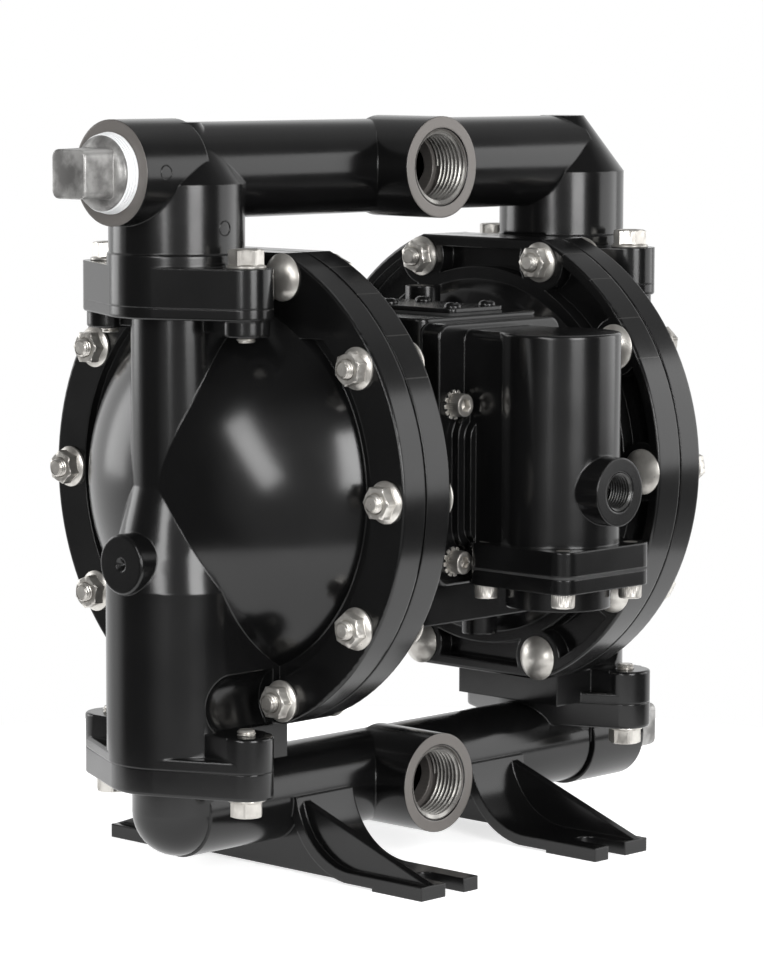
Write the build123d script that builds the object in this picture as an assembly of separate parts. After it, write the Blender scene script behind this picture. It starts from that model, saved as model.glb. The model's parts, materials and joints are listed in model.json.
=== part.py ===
from build123d import *
import os
from math import asin, cos, radians, sin, sqrt

# Air operated double diaphragm pump, 1 inch ports, bolted metal casing.
# X runs along the diaphragm rod, the ports face -Y, Z is up. The origin is on the floor,
# midway between the two chambers. All sizes are in millimetres.

# --- chambers, about the rod's axis ---
axis_z = 171.0            # height of the rod's axis
body_half = 39.0          # half the centre body's length between the air cap gaskets
gasket_t = 1.0
chamber_depth = 42.3      # from an air cap's inner end to the middle of its joint with the fluid cap
joint_gap = 1.0           # metal to metal gap that the diaphragm's bead leaves open
flange_r = 106.5          # outer radius of the bolted flanges
flat_cut = 6.5            # the flats at the flanges' top and bottom are cut in this far
fluid_flange = 13.2       # thickness of the fluid cap's flange
air_flange = 7.6          # thickness of the air cap's flange plate
rim_depth = 7.0           # how far the air cap's rim and bolt bosses stand back from that plate
rim_wall = 5.0
dome_r = 93.1             # outside of the fluid cap's dome
dome_edge = 24.5          # width of the flange, from its rim to the dome's foot
dome_step = 4.0           # the groove round the dome is this much below the flange's face
groove_edge = 18.5        # and to the groove's outer side
top_pad = 65.0            # above this height over the axis the groove is filled
wall = 6.0                # casting walls

# --- chamber bolts ---
bolt_edge = 9.5           # from the flange's rim in to the bolt circle
bolt_pitch = 34.0         # degrees between neighbours, from the horizontal up and down
bolt_r = 4.0
bolt_play = 0.5
head_r = 10.2             # round head
head_h = 5.0
nut_af = 12.8
nut_h = 7.0
nut_flange_r = 9.0
nut_flange_h = 1.6
bolt_proud = 2.7          # stud end beyond the nut
boss_r = 11.5             # bolt bosses on the air cap

# --- valve columns of the fluid cap ---
column_out = 40.4         # valve columns' axis, outside the joint
column_top_r = 19.5
column_low_r = 30.5
taper_top = 173.0
taper_low = 130.0
valve_bore = 21.0         # ball chambers
ball_r = 17.5
ball_lift = 8.0
ball_play = 0.3
seat_bore = 13.5
seat_r = 22.5
seat_half = 3.0           # half the seat's height, sunk in each of the two castings
ring_w = 2.0              # square seat ring
lug_r = 12.0              # inner ends of the lugs that stop a ball
lug_t = 4.0
lug_h = 6.0
drill_boss_r = 12.9       # round boss on the taper
drill_boss_out = 32.8     # its face, outside the column's axis
drill_boss_z = 141.5
dimple_r = 3.0
scallop_r = 14.5          # hollow round the lowest bolts
scallop_out = 13.3        # its ball-shaped end, outside the column's axis
low_boss_r = 10.0         # bosses under the upper ears
low_boss_web = 3.0        # half thickness of the webs between them and the column
upper_lug_turn = 60.0     # degrees, turns the outlet's ball stops clear of the pipe's bore

# --- two-bolt flanges between caps and manifolds ---
joint_high = 249.4        # joint of caps and outlet manifold
joint_low = 55.5          # joint of caps and inlet manifold
ring_r = 29.6
ear_y = 41.7
ear_r = 11.5
cap_lip = 5.0
ear_drop = 11.9           # depth of the cap's upper bolt bosses
ear_rise = 15.0           # height of the cap's lower ears
out_ear = 16.6            # thickness of the outlet manifold's ears
out_ring = 22.0
in_ear = 11.6
cast_play = 1.0           # gap between unmachined castings
mbolt_r = 4.0
mbolt_head_h = 8.1
mbolt_flange_h = 1.6
mbolt_flange_r = 8.6
mbolt_af = 13.0
mbolt_proud = 2.3

# --- manifolds ---
out_z = 305.0
in_z = 33.0
pipe_r = 20.5
pipe_bore = 15.0
port_boss_r = 22.1
port_y = 37.9             # port faces, in front of the manifolds' axis
tee_out = 37.1            # plugged ends, outside the column's axis
tee_length = 35.3         # length of the tee's larger barrel
tap_r = 16.2              # plain wall at the root of the 1 inch pipe threads
tap_l = 17.5
port_core_r = 13.0        # bore behind the port's thread
mouth_r = 17.2            # chamfer of the port threads
column_out_r = 28.8       # outlet manifold's columns
shoulder_z = 300.0
crown_r = 10.0
elbow_r = 19.7

# --- feet, cast with the inlet manifold ---
foot_out = 73.5
foot_in = 38.5
foot_len = 96.5           # half length of a foot
foot_t = 6.0              # thickness of the slotted pads
foot_lift = 1.2           # the webs stay this much off the floor
pad_len = 29.0
web_t = 4.0
arch_r = 33.0             # hollow sweep from the pipe's side down to the pad
arch_gap = 1.5            # between the pipe's side and the sweep
arch_t = 5.0
slot_w = 11.5
slot_end = 80.0           # closed end of the open slots
slot_x = 53.0

# --- pipe plugs ---
plug_sq = 21.0
plug_sq_len = 15.5
plug_in = 12.0
plug_collar_r = 15.6
plug_collar = 8.2
plug_round = 4.0
tape_t = 1.4
tape_w = 5.0

# --- air caps and centre body ---
body_front = -62.0
body_back = 55.0
body_low = 109.0
body_high = 242.0
hub_r = 45.0
cap_depth = 18.0          # from an air cap's inner end to the floor of the air chamber
floor_r = 55.0
dish_edge = 30.5          # the dish's rolled edge, in from the flange's rim
dish_roll = 5.0           # rounding of that edge
land_edge = 20.0          # inner side of the pockets between the bolts, in from the rim
pocket_round = 5.0
land_boss_r = 13.0        # the pockets stop this far from the bolts
lug_rise = 78.0           # round lugs of the air cap, above and below the axis
air_lug_r = 8.0
air_lug_in = 8.0          # their axis, from the air cap's inner end
air_lug_y = 18.0
inner_screw_r = 3.0
inner_screw_circle = 34.0
inner_screw_angle = 65.0
inner_screw_len = 34.0

# --- rod, plates and diaphragms ---
rod_r = 9.0
run_play = 0.05           # running clearance, on the radius
rod_clear = 0.6           # where the rod passes through without being guided
stroke = 9.0
plate_in_r = 50.0
plate_in_t = 7.0
plate_out_r = 47.0
plate_out_t = 8.5
stud_r = 6.0
stud_len = 15.0
dia_centre = 4.0          # thickness between the plates
dia_web = 2.4             # thickness of the rolling part
dia_roll = 6.0            # height of the roll
dia_roll_in = 57.0
bead_t = 3.0
bead_edge = 16.7          # outer side of the diaphragm's bead, in from the flange's rim
bead_wide = 10.1
bead_play = 0.2
bush_r = 13.0
bush_len = 24.0
seal_len = 4.0
pilot_r = 3.5
pilot_drop = 27.0         # below the rod
pilot_gap = 0.3           # between the pilot rod and a plate at the end of the stroke
pilot_bush_r = 6.0
pilot_bush_len = 12.0

# --- air valve ---
valve_y = -107.0          # spool's axis
valve_r = 26.0
valve_top = 237.0
valve_low = 136.5
spool_bore = 17.0
spool_cap = 6.0           # metal above the bore
land_t = 12.0
waist_r = 8.0
spool_travel = 8.0
end_play = 2.0            # room beyond the spool at each end of its travel
slide_half = 16.0         # half height of the valve slide on the spool
slide_x = 11.0
slide_port = 12.0         # half height of the hollow in its face
slide_depth = 6.0
slide_wall = 3.0
slide_play = 0.1
port_plate_t = 6.0
port_plate_x = 15.0
port_plate_half = 27.0
spool_seal_t = 3.0
spool_seal_w = 4.0
plate_t = 10.0
plate_low = 127.5
plate_high = 240.0
neck_half = 23.0
step_edge = 8.5           # from the mounting plate's side to its raised step
step_t = 3.5
step_high = 203.0
step_low = 141.0
step_inset = 4.0
inlet_r = 14.6
inlet_proud = 8.0
air_tap_r = 8.2           # plain wall at the root of the 3/8 inch pipe thread
air_mouth_r = 8.8
air_tap_l = 13.0
air_core_r = 5.5
valve_sq = 29.0           # half the square flange under the spool
valve_flange = 10.5
end_screw = 21.8          # half pitch of the end cap's screws
end_flange = 6.5
end_depth = 9.5
end_r = 25.0
screw_r = 3.0
screw_head_r = 5.0
screw_head_h = 6.2
socket_af = 5.0
socket_depth = 3.0
vscrew_edge = 9.5         # from the mounting plate's side to its screws
vscrew_high = 205.5
vscrew_low = 138.0
vscrew_deep = 14.0        # reach into the body
washer_r = 6.5
washer_t = 0.8
slot_high = 14.0          # pitch of the three air passages
passage_w = 16.0
passage_h = 8.0
passage_r = 4.5
passage_y = -27.0
exhaust_duct_y = -16.0

# --- top cover and exhaust ---
cover_half = 17.0
cover_front = -60.0
cover_back = 41.0
cover_t = 2.0
cover_screw_x = 11.0
cover_screw_y = (-55.0, -17.0, 36.0)
cover_screw_r = 2.0
cover_head_r = 3.8
cover_head_h = 2.4
exhaust_floor = 206.0
exhaust_half = 7.5
exhaust_z = 218.0
exhaust_boss_r = 14.0
exhaust_boss = 10.0
exhaust_r = 10.2          # plain wall at the root of the 1/2 inch pipe thread

# --- rounded casting edges ---
cast_round = 1.2
neck_round = 5.0

cap_x = body_half + gasket_t               # inner end of an air cap
joint_x = cap_x + chamber_depth            # middle of the joint between a fluid cap and its air cap
column_x = joint_x + column_out
tee_x = column_x + tee_out
tee_in = tee_x - tee_length
drill_boss_x = column_x + drill_boss_out
scallop_x = column_x + scallop_out
flange_flat = flange_r - flat_cut
dome_base = flange_r - dome_edge           # radius where the dome meets the flange
groove_out = flange_r - groove_edge
bolt_circle = flange_r - bolt_edge
bead_out = flange_r - bead_edge
bead_in = bead_out - bead_wide
dish_r = flange_r - dish_edge
fluid_x = joint_x + joint_gap / 2          # faces of the joint
air_x = joint_x - joint_gap / 2
face_x = fluid_x + fluid_flange            # outer face of the fluid cap's flange
plate_x = air_x - air_flange
rim_x = plate_x - rim_depth
groove_x = face_x - dome_step
dome_x = groove_x - sqrt(dome_r**2 - dome_base**2)
bead_half = bead_t / 2
cap_floor = cap_x + cap_depth              # inner floor of the air chamber
air_lug_x = cap_x + air_lug_in
pilot_half = joint_x - dia_centre / 2 - plate_in_t - stroke - pilot_gap
plate_half = body_half
step_half = plate_half - step_edge
vscrew_x = plate_half - vscrew_edge
flange_top = axis_z + flange_flat
ball_seat = sqrt(ball_r**2 - seat_bore**2) + ball_play
ball_stop = ball_lift + sqrt(ball_r**2 - lug_r**2) + 2 * ball_play
pilot_z = axis_z - pilot_drop
plate_front = body_front - gasket_t - plate_t
plate_back = body_front - gasket_t
inlet_y = valve_y - valve_r - inlet_proud
spool_top = valve_top - spool_cap          # closed end of the spool's bore
passage_z = (valve_low + spool_top) / 2
spool_low = valve_low + end_play
spool_len = spool_top - valve_low - spool_travel - 2 * end_play
spool_z = spool_low + spool_len / 2        # the spool rests at its lower stop
bolts_up = [side * cos(radians(2 * bolt_pitch)) * bolt_circle for side in (-1, 1)]
bolt_up_z = sin(radians(2 * bolt_pitch)) * bolt_circle


def bar(axis, r, a, b, at=(0, 0)):
    """A round bar along X, Y or Z from a to b, at the two other coordinates."""
    turn = {"x": Rot(0, 90, 0), "y": Rot(-90, 0, 0), "z": Rot(0, 0, 0)}[axis]
    place = {"x": Pos(a, *at), "y": Pos(at[0], a, at[1]), "z": Pos(*at, a)}[axis]
    return place * turn * Cylinder(r, b - a, align=(Align.CENTER, Align.CENTER, Align.MIN))


def block(x, y, z):
    """A box given by its ranges."""
    size = [hi - lo for lo, hi in (x, y, z)]
    return Pos(x[0], y[0], z[0]) * Box(*size, align=(Align.MIN,) * 3)


def turned(*points, z=axis_z):
    """A body turned about an X axis from its (x, radius) outline."""
    outline = Polyline(*[(x, 0, z + r) for x, r in points], close=True)
    return revolve(make_face(outline), Axis((0, 0, z), (1, 0, 0)))


def turned_up(x, y, *points):
    """A body turned about a vertical axis from its (radius, z) outline."""
    outline = Polyline(*[(x + r, y, z) for r, z in points], close=True)
    return revolve(make_face(outline), Axis((x, y, 0), (0, 0, 1)))


def mouth(r, bore_r, y, z):
    """Chamfer of a bore whose mouth is at y and faces -Y."""
    return Pos(0, y, z) * Rot(-90, 0, 0) * Cone(r, bore_r, r - bore_r,
                                                align=(Align.CENTER, Align.CENTER, Align.MIN))


def plate(sketch, a, b):
    """A sketch in (y, height above the rod), extruded from a to b along X."""
    return extrude(Plane((a, 0, axis_z), x_dir=(0, 1, 0), z_dir=(1, 0, 0)) * sketch, b - a)


def front(sketch, a, b, x=0, z=0):
    """A sketch in (x, z), extruded from a to b along Y."""
    return extrude(Plane((x, b, z), x_dir=(1, 0, 0), z_dir=(0, -1, 0)) * sketch, b - a)


def column(sketch, a, b):
    """A sketch in (x, y), extruded from a to b along Z."""
    return extrude(Pos(0, 0, a) * sketch, b - a)


def other_side(shape):
    """The same casting turned half round, at the pump's other end."""
    return Rot(0, 0, 180) * shape


def softened(prism, axis, end, r=cast_round):
    """The prism with the edges round its first (0) or last (-1) face along the axis rounded."""
    return fillet(prism.edges().group_by(axis)[end], r)


def flange_outline(inset=0.0):
    return Circle(flange_r - inset) & Rectangle(2 * flange_r, 2 * (flange_flat - inset))


def bolt_places(upper):
    """(y, height) of the chamber bolts: the two uppermost ones, or all the others."""
    turns = (2,) if upper else (-2, -1, 0, 1)
    angles = [radians(n * bolt_pitch) for n in turns]
    return [(side * bolt_circle * cos(a), bolt_circle * sin(a)) for a in angles for side in (-1, 1)]


def ear_outline(r):
    """A ring with an ear in front and behind, joined by their tangents."""
    lean = asin((r - ear_r) / ear_y)
    near, far = r * sin(lean), ear_y + ear_r * sin(lean)
    web = Polygon((r * cos(lean), near), (ear_r * cos(lean), far), (-ear_r * cos(lean), far),
                  (-r * cos(lean), near), align=None)
    half = web + Pos(0, ear_y) * Circle(ear_r)
    return Pos(column_x, 0) * (Circle(r) + half + mirror(half, Plane.XZ))


def ear_bars(r, a, b):
    """Round bars at the two ears of the right-hand column."""
    return [bar("z", r, a, b, (column_x, side * ear_y)) for side in (-1, 1)]


def stop_lugs(z, turn):
    """Three lugs across the ball's path."""
    lug = block((column_x + lug_r, column_x + valve_bore + 1), (-lug_t / 2, lug_t / 2), (z, z + lug_h))
    axis = Axis((column_x, 0, 0), (0, 0, 1))
    return [lug.rotate(axis, turn + 120 * n) for n in range(3)]


def column_plan(half):
    """Plan of a valve column: round outside, straight walls back into the flange."""
    root = (fluid_x + groove_x) / 2
    return Pos(column_x, 0) * Circle(half) + Pos((root + column_x) / 2, 0) * Rectangle(
        column_x - root, 2 * half)


# --- fluid caps: flange, dome, ball chamber below and outlet column above ---
def dome_form(r):
    """The dome's sphere of radius r, from the joint to its crown, turned about the rod's axis."""
    half = Pos(dome_x, axis_z) * Circle(r) & Pos(fluid_x, axis_z) * Rectangle(
        2 * r, r, align=(Align.MIN, Align.MIN))
    return revolve(Plane.XZ * half, Axis((0, 0, axis_z), (1, 0, 0)))


def scallop_form(y, z):
    """Round hollow along X from the flange's face to a ball-shaped end."""
    side = Pos(scallop_x - scallop_r, z) * Circle(scallop_r) + Pos(face_x, z) * Rectangle(
        scallop_x - scallop_r - face_x, 2 * scallop_r, align=(Align.MIN, Align.CENTER))
    half = side & Pos(face_x, z) * Rectangle(tee_x, scallop_r, align=(Align.MIN, Align.MIN))
    return Pos(0, y, 0) * revolve(Plane.XZ * half, Axis((0, 0, z), (1, 0, 0)))


fluid_cap = softened(plate(flange_outline(), fluid_x, face_x), Axis.X, -1)
groove = bar("x", groove_out, groove_x, face_x + 1, (0, axis_z))
groove &= block((groove_x, face_x + 1), (-flange_r, flange_r), (0, axis_z + top_pad))
fluid_cap = fluid_cap - groove + dome_form(dome_r)
fluid_cap += column(column_plan(column_low_r), joint_low, taper_low)
fluid_cap += loft([Pos(0, 0, taper_low) * column_plan(column_low_r),
                   Pos(0, 0, taper_top) * column_plan(column_top_r)])
fluid_cap += column(column_plan(column_top_r), taper_top, joint_high)
fluid_cap += softened(bar("x", drill_boss_r, column_x, drill_boss_x, (0, drill_boss_z)), Axis.X, -1)
fluid_cap += softened(column(ear_outline(ring_r), joint_high - cap_lip, joint_high), Axis.Z, 0)
fluid_cap += [softened(b, Axis.Z, 0) for b in ear_bars(low_boss_r, joint_high - ear_drop, joint_high)]
ear_web = (-ear_y, ear_y)
ear_side = (column_x - ear_r, column_x + ear_r)
fluid_cap += block((column_x - low_boss_web, column_x + low_boss_web), ear_web,
                   (joint_high - ear_drop + cast_round, joint_high - cap_lip))
fluid_cap += softened(column(ear_outline(column_low_r), joint_low, joint_low + cap_lip), Axis.Z, -1)
fluid_cap += [softened(b, Axis.Z, -1) for b in ear_bars(ear_r, joint_low, joint_low + ear_rise)]
fluid_cap += block(ear_side, ear_web, (joint_low, joint_low + ear_rise))
fluid_cap -= block((face_x, tee_x), (-flange_r, flange_r), (joint_high, flange_top))
for y in bolts_up:
    low_bolt = (y, axis_z - bolt_up_z)
    fluid_cap -= scallop_form(*low_bolt) - block(
        (face_x, scallop_x), (-flange_r, flange_r), (0, joint_low + ear_rise))
fluid_cap -= dome_form(dome_r - wall)
fluid_cap -= bar("x", bead_out + bead_play, fluid_x, joint_x + bead_half, (0, axis_z))
fluid_cap -= turned_up(column_x, 0, (0, joint_low), (seat_r, joint_low), (seat_r, joint_low + seat_half),
                       (valve_bore, joint_low + seat_half), (valve_bore, taper_low - wall / 2),
                       (0, taper_low - wall / 2))
fluid_cap -= turned_up(column_x, 0, (0, axis_z), (seat_bore, axis_z),
                       (seat_bore, joint_high - seat_half), (seat_r, joint_high - seat_half),
                       (seat_r, joint_high), (0, joint_high))
for z in (joint_low, joint_high):
    fluid_cap -= bar("z", seat_r + ring_w, z - ring_w / 2, z + ring_w / 2, (column_x, 0)) - bar(
        "z", seat_r, z - ring_w, z + ring_w, (column_x, 0))
fluid_cap += stop_lugs(joint_low + seat_half + ball_seat + ball_stop, 0)
for y, h in bolt_places(True) + bolt_places(False):
    fluid_cap -= bar("x", bolt_r + bolt_play, fluid_x, face_x, (y, axis_z + h))
fluid_cap -= ear_bars(mbolt_r, joint_high - ear_drop, joint_high)
fluid_cap -= ear_bars(mbolt_r, joint_low, joint_low + ear_rise)
fluid_cap -= Pos(drill_boss_x, 0, drill_boss_z) * Rot(0, -90, 0) * Cone(
    dimple_r, 0, dimple_r, align=(Align.CENTER, Align.CENTER, Align.MIN))

# --- air caps: ribbed flange, dished air chamber, hub against the centre body ---
pockets = flange_outline(rim_wall) - Circle(flange_r - land_edge)
for place in bolt_places(True) + bolt_places(False):
    pockets -= Pos(*place) * Circle(land_boss_r)
air_cap = softened(plate(flange_outline() - Circle(dish_r), rim_x, air_x), Axis.X, 0)
for pocket in pockets.faces():
    air_cap -= plate(fillet(pocket.vertices(), pocket_round), rim_x, plate_x)
dish = Polygon((cap_x, 0), (cap_x, hub_r), (cap_floor - wall, floor_r + wall), (rim_x - rim_depth, dish_r),
               (plate_x, bead_in + wall), (plate_x, 0), align=None)
rolls = dish.vertices().filter_by(lambda v: v.Y > hub_r and v.X < plate_x)
air_cap += revolve(Plane.XZ * Pos(0, axis_z) * fillet(rolls, dish_roll), Axis((0, 0, axis_z), (1, 0, 0)))
air_cap += bar("z", air_lug_r, axis_z - lug_rise, axis_z, (air_lug_x, -air_lug_y))
air_cap += bar("z", air_lug_r, axis_z, axis_z + lug_rise, (air_lug_x, air_lug_y))
air_cap -= turned((cap_floor, 0), (cap_floor, floor_r), (air_x, bead_in), (air_x, 0))
air_cap -= bar("x", bead_out + bead_play, joint_x - bead_half, air_x, (0, axis_z))
air_cap -= bar("x", rod_r + rod_clear, cap_x, cap_floor, (0, axis_z))
air_cap -= bar("x", pilot_r + bolt_play, cap_x, cap_floor, (0, pilot_z))
for y, h in bolt_places(True) + bolt_places(False):
    air_cap -= bar("x", bolt_r + bolt_play, rim_x, air_x, (y, axis_z + h))
inner_screws = [(inner_screw_circle * cos(radians(a)), axis_z + inner_screw_circle * sin(radians(a)))
                for a in (inner_screw_angle, 180 - inner_screw_angle, -inner_screw_angle,
                          inner_screw_angle - 180)]
for at in inner_screws:
    air_cap -= bar("x", inner_screw_r + bolt_play, cap_x, cap_floor, at)
    air_cap -= bar("x", screw_head_r + bolt_play, cap_floor - screw_head_h, cap_floor, at)
left_port = (passage_y, passage_z + slot_high)
right_port = (passage_y, passage_z - slot_high)
right_air_cap = air_cap - bar("x", passage_r, cap_x, cap_floor, right_port)
left_air_cap = other_side(air_cap) - bar("x", passage_r, -cap_floor, -cap_x, left_port)

# --- centre body: bushed rod bore, air passages, exhaust chamber under the top cover ---
body = block((-body_half, body_half), (body_front, body_back), (body_low, body_high))
body = softened(fillet(body.edges().filter_by(Axis.Z), wall), Axis.Z, -1)
body += bar("y", exhaust_boss_r, body_back - wall, body_back + exhaust_boss, (0, exhaust_z))
body -= bar("x", bush_r, -body_half, body_half, (0, axis_z))
body -= bar("x", pilot_bush_r, -body_half, body_half, (0, pilot_z))
body -= block((-exhaust_half, exhaust_half), (cover_front + wall, body_back - wall),
              (exhaust_floor, body_high))
body -= bar("y", exhaust_r, body_back - 2 * wall, body_back + exhaust_boss, (0, exhaust_z))
body -= bar("z", passage_r, passage_z, exhaust_floor, (0, exhaust_duct_y))
body -= bar("x", passage_r, 0, body_half, right_port)
body -= bar("x", passage_r, -body_half, 0, left_port)
for at in inner_screws:
    body -= bar("x", inner_screw_r, cap_floor - screw_head_h - inner_screw_len, body_half, at)
    body -= bar("x", inner_screw_r, -body_half, inner_screw_len + screw_head_h - cap_floor, at)
passages = [Pos(0, side * slot_high) * Rectangle(passage_w, passage_h) for side in (-1, 0, 1)]
for slot, depth in zip(passages, (passage_y, exhaust_duct_y, passage_y)):
    body -= front(slot, body_front, depth, z=passage_z)
valve_screws = [(side * vscrew_x, z) for side in (-1, 1) for z in (vscrew_low, vscrew_high)]
for at in valve_screws:
    body -= bar("y", screw_r, body_front, body_front + vscrew_deep, at)
cover_screws = [(side * cover_screw_x, y) for side in (-1, 1) for y in cover_screw_y]
for at in cover_screws:
    body -= bar("z", cover_screw_r, body_high - 4 * cover_screw_r, body_high, at)

# --- outlet manifold: plugged tee at the left, elbow at the right, port in the middle ---
right_column = column(ear_outline(ring_r), joint_high, joint_high + out_ear)
right_column += softened(bar("z", ring_r, joint_high, joint_high + out_ring, (column_x, 0)), Axis.Z, -1)
right_column -= block((0, face_x + cast_play), (-flange_r, flange_r), (joint_high, flange_top + cast_play))
right_column += turned_up(column_x, 0, (0, flange_top + cast_play), (column_out_r, flange_top + cast_play),
                          (column_out_r, shoulder_z), (crown_r, out_z + pipe_r), (0, out_z + pipe_r))
upright = turned_up(column_x, 0, (0, joint_high), (column_out_r, joint_high),
                    (column_out_r, flange_top + cast_play), (0, flange_top + cast_play))
right_column += upright - block((0, face_x + cast_play), (-flange_r, flange_r),
                                (joint_high, flange_top + cast_play))
outlet = right_column + other_side(right_column)
outlet += bar("x", pipe_r, -column_x, column_x, (0, out_z))
outlet += bar("x", port_boss_r, -tee_x, -tee_in, (0, out_z))
outlet += bar("y", port_boss_r, -port_y, 0, (0, out_z))
lift_z = joint_high + seat_half + ball_seat + ball_stop
chamber = turned_up(column_x, 0, (0, joint_high), (seat_r, joint_high), (seat_r, joint_high + seat_half),
                    (valve_bore, joint_high + seat_half), (valve_bore, out_z - pipe_bore),
                    (pipe_bore, out_z - pipe_bore / 2), (0, out_z))
for side in (chamber, other_side(chamber)):
    outlet -= side
outlet -= bar("x", pipe_bore, tap_l - tee_x, column_x, (0, out_z))
lugs = stop_lugs(lift_z, upper_lug_turn)
outlet += lugs + [other_side(lug) for lug in lugs]

# --- inlet manifold: elbow at the left, plugged tee at the right, port, and the feet ---
base = softened(column(ear_outline(ring_r), joint_low - in_ear, joint_low), Axis.Z, 0)
inlet = base + other_side(base)
inlet += bar("x", pipe_r, -column_x, column_x, (0, in_z))
inlet += Pos(-column_x, 0, in_z) * Sphere(elbow_r)
for side in (-1, 1):
    inlet += bar("z", elbow_r, in_z, joint_low - in_ear, (side * column_x, 0))
inlet += bar("x", port_boss_r, tee_in, tee_x, (0, in_z))
inlet += bar("y", port_boss_r, -port_y, 0, (0, in_z))

arch_y = pipe_r + arch_gap + arch_r
arch_z = foot_t + arch_r
sweep = Pos(-arch_y, arch_z) * Circle(arch_r + arch_t) - Pos(-arch_y, arch_z) * Circle(arch_r)
sweep &= Pos(-(arch_y - arch_r) / 2 - arch_r / 2, in_z / 2 + foot_lift) * Rectangle(
    arch_y, in_z, align=(Align.CENTER, Align.CENTER))
pad = Pos(-(arch_y + foot_len) / 2, foot_lift + (foot_t - foot_lift) / 2) * Rectangle(
    foot_len - arch_y, foot_t - foot_lift)
toe = Pos(-foot_len + pad_len / 2, foot_t / 2) * Rectangle(pad_len, foot_t)
arch = sweep + pad + toe
web = Polygon((-foot_len, foot_t), (-pipe_r, in_z), (0, in_z), (0, foot_lift),
              (-foot_len + pad_len, foot_lift), (-foot_len, foot_t / 2), align=None)
side_view = Plane((foot_in, 0, 0), x_dir=(0, 1, 0), z_dir=(1, 0, 0))
web_view = Plane((foot_out - web_t, 0, 0), x_dir=(0, 1, 0), z_dir=(1, 0, 0))
half_foot = extrude(side_view * arch, foot_out - foot_in) + extrude(web_view * web, web_t)
slot = column(SlotCenterToCenter(foot_len, slot_w, rotation=90), -1, foot_t + 1)
half_foot -= Pos(slot_x, -slot_end + slot_w / 2 - foot_len / 2 - slot_w / 2, 0) * slot
foot = half_foot + mirror(half_foot, Plane.XZ)
inlet += foot + mirror(foot, Plane.YZ)
inlet -= bar("x", pipe_bore, -column_x, tee_x - tap_l, (0, in_z))
for side in (-1, 1):
    inlet -= bar("z", pipe_bore, in_z, joint_low, (side * column_x, 0))
    inlet -= bar("z", seat_r, joint_low - seat_half, joint_low, (side * column_x, 0))

for side in (-1, 1):
    outlet -= bar("z", seat_r + ring_w, joint_high, joint_high + ring_w / 2, (side * column_x, 0))
    inlet -= bar("z", seat_r + ring_w, joint_low - ring_w / 2, joint_low, (side * column_x, 0))
    for y in (-ear_y, ear_y):
        outlet -= bar("z", mbolt_r + bolt_play, joint_high, joint_high + out_ear, (side * column_x, y))
        inlet -= bar("z", mbolt_r + bolt_play, joint_low - in_ear, joint_low, (side * column_x, y))


def tapped(end, z):
    """Threaded mouths: the front port and the plugged end."""
    return [bar("y", tap_r, -port_y, tap_l - port_y, (0, z)), bar("y", port_core_r, -port_y, 0, (0, z)),
            mouth(mouth_r, tap_r, -port_y, z),
            bar("x", tap_r, *sorted((end * tee_x, end * (tee_x - tap_l))), (0, z))]


outlet -= tapped(-1, out_z)
inlet -= tapped(1, in_z)

# --- pipe plugs ---
plug = bar("x", tap_r, tee_x - plug_in, tee_x)
plug += bar("x", plug_collar_r, tee_x, tee_x + plug_collar)
head = Plane((tee_x + plug_collar, 0, 0), x_dir=(0, 1, 0), z_dir=(1, 0, 0)) * RectangleRounded(
    plug_sq, plug_sq, plug_round)
plug += extrude(head, plug_sq_len)
tape = bar("x", plug_collar_r + tape_t, tee_x, tee_x + tape_w) - bar(
    "x", plug_collar_r, tee_x, tee_x + tape_w)

# --- fasteners ---


def nut(x, way):
    """Flanged nut on an X bolt, seated at x and standing off along way."""
    ring = bar("x", nut_flange_r, *sorted((x, x + way * nut_flange_h)))
    body_of_nut = Plane((min(x, x + way * nut_h), 0, 0), x_dir=(0, 1, 0), z_dir=(1, 0, 0)) * RegularPolygon(
        nut_af / 2, 6, major_radius=False)
    return ring + extrude(body_of_nut, nut_h) - bar("x", bolt_r, x - 2 * nut_h, x + 2 * nut_h)


def round_bolt(x_head, x_end):
    """Round-headed bolt seated at x_head, its shank ending at x_end."""
    way = 1 if x_end > x_head else -1
    ball = (head_r**2 + head_h**2) / (2 * head_h)
    outer_side = Align.MAX if way > 0 else Align.MIN
    half = Pos(x_head + way * (ball - head_h), 0) * Circle(ball) & Pos(x_head, 0) * Rectangle(
        ball, ball, align=(outer_side, Align.MIN))
    return revolve(Plane.XZ * half, Axis.X) + bar("x", bolt_r, *sorted((x_head, x_end)))


def set_of(piece, places):
    """Copies of a piece as one node's separate solids."""
    return Compound(children=[Pos(*p) * piece for p in places])


def hex_bolt(z, way, length):
    """Flange-head bolt seated at z, head standing off along way."""
    head_hex = Pos(0, 0, min(z, z + way * mbolt_head_h)) * extrude(
        RegularPolygon(mbolt_af / 2, 6, major_radius=False), mbolt_head_h)
    return head_hex + bar("z", mbolt_flange_r, *sorted((z, z + way * mbolt_flange_h))) + bar(
        "z", mbolt_r, *sorted((z, z - way * length)))


def cap_screw(r, grip):
    """Socket head cap screw along -Z from a seat at 0, its head above."""
    socket = Pos(0, 0, screw_head_h - socket_depth) * extrude(
        RegularPolygon(socket_af / 2, 6, major_radius=False), socket_depth)
    return bar("z", screw_head_r, 0, screw_head_h) + bar("z", r, -grip, 0) - socket


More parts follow.
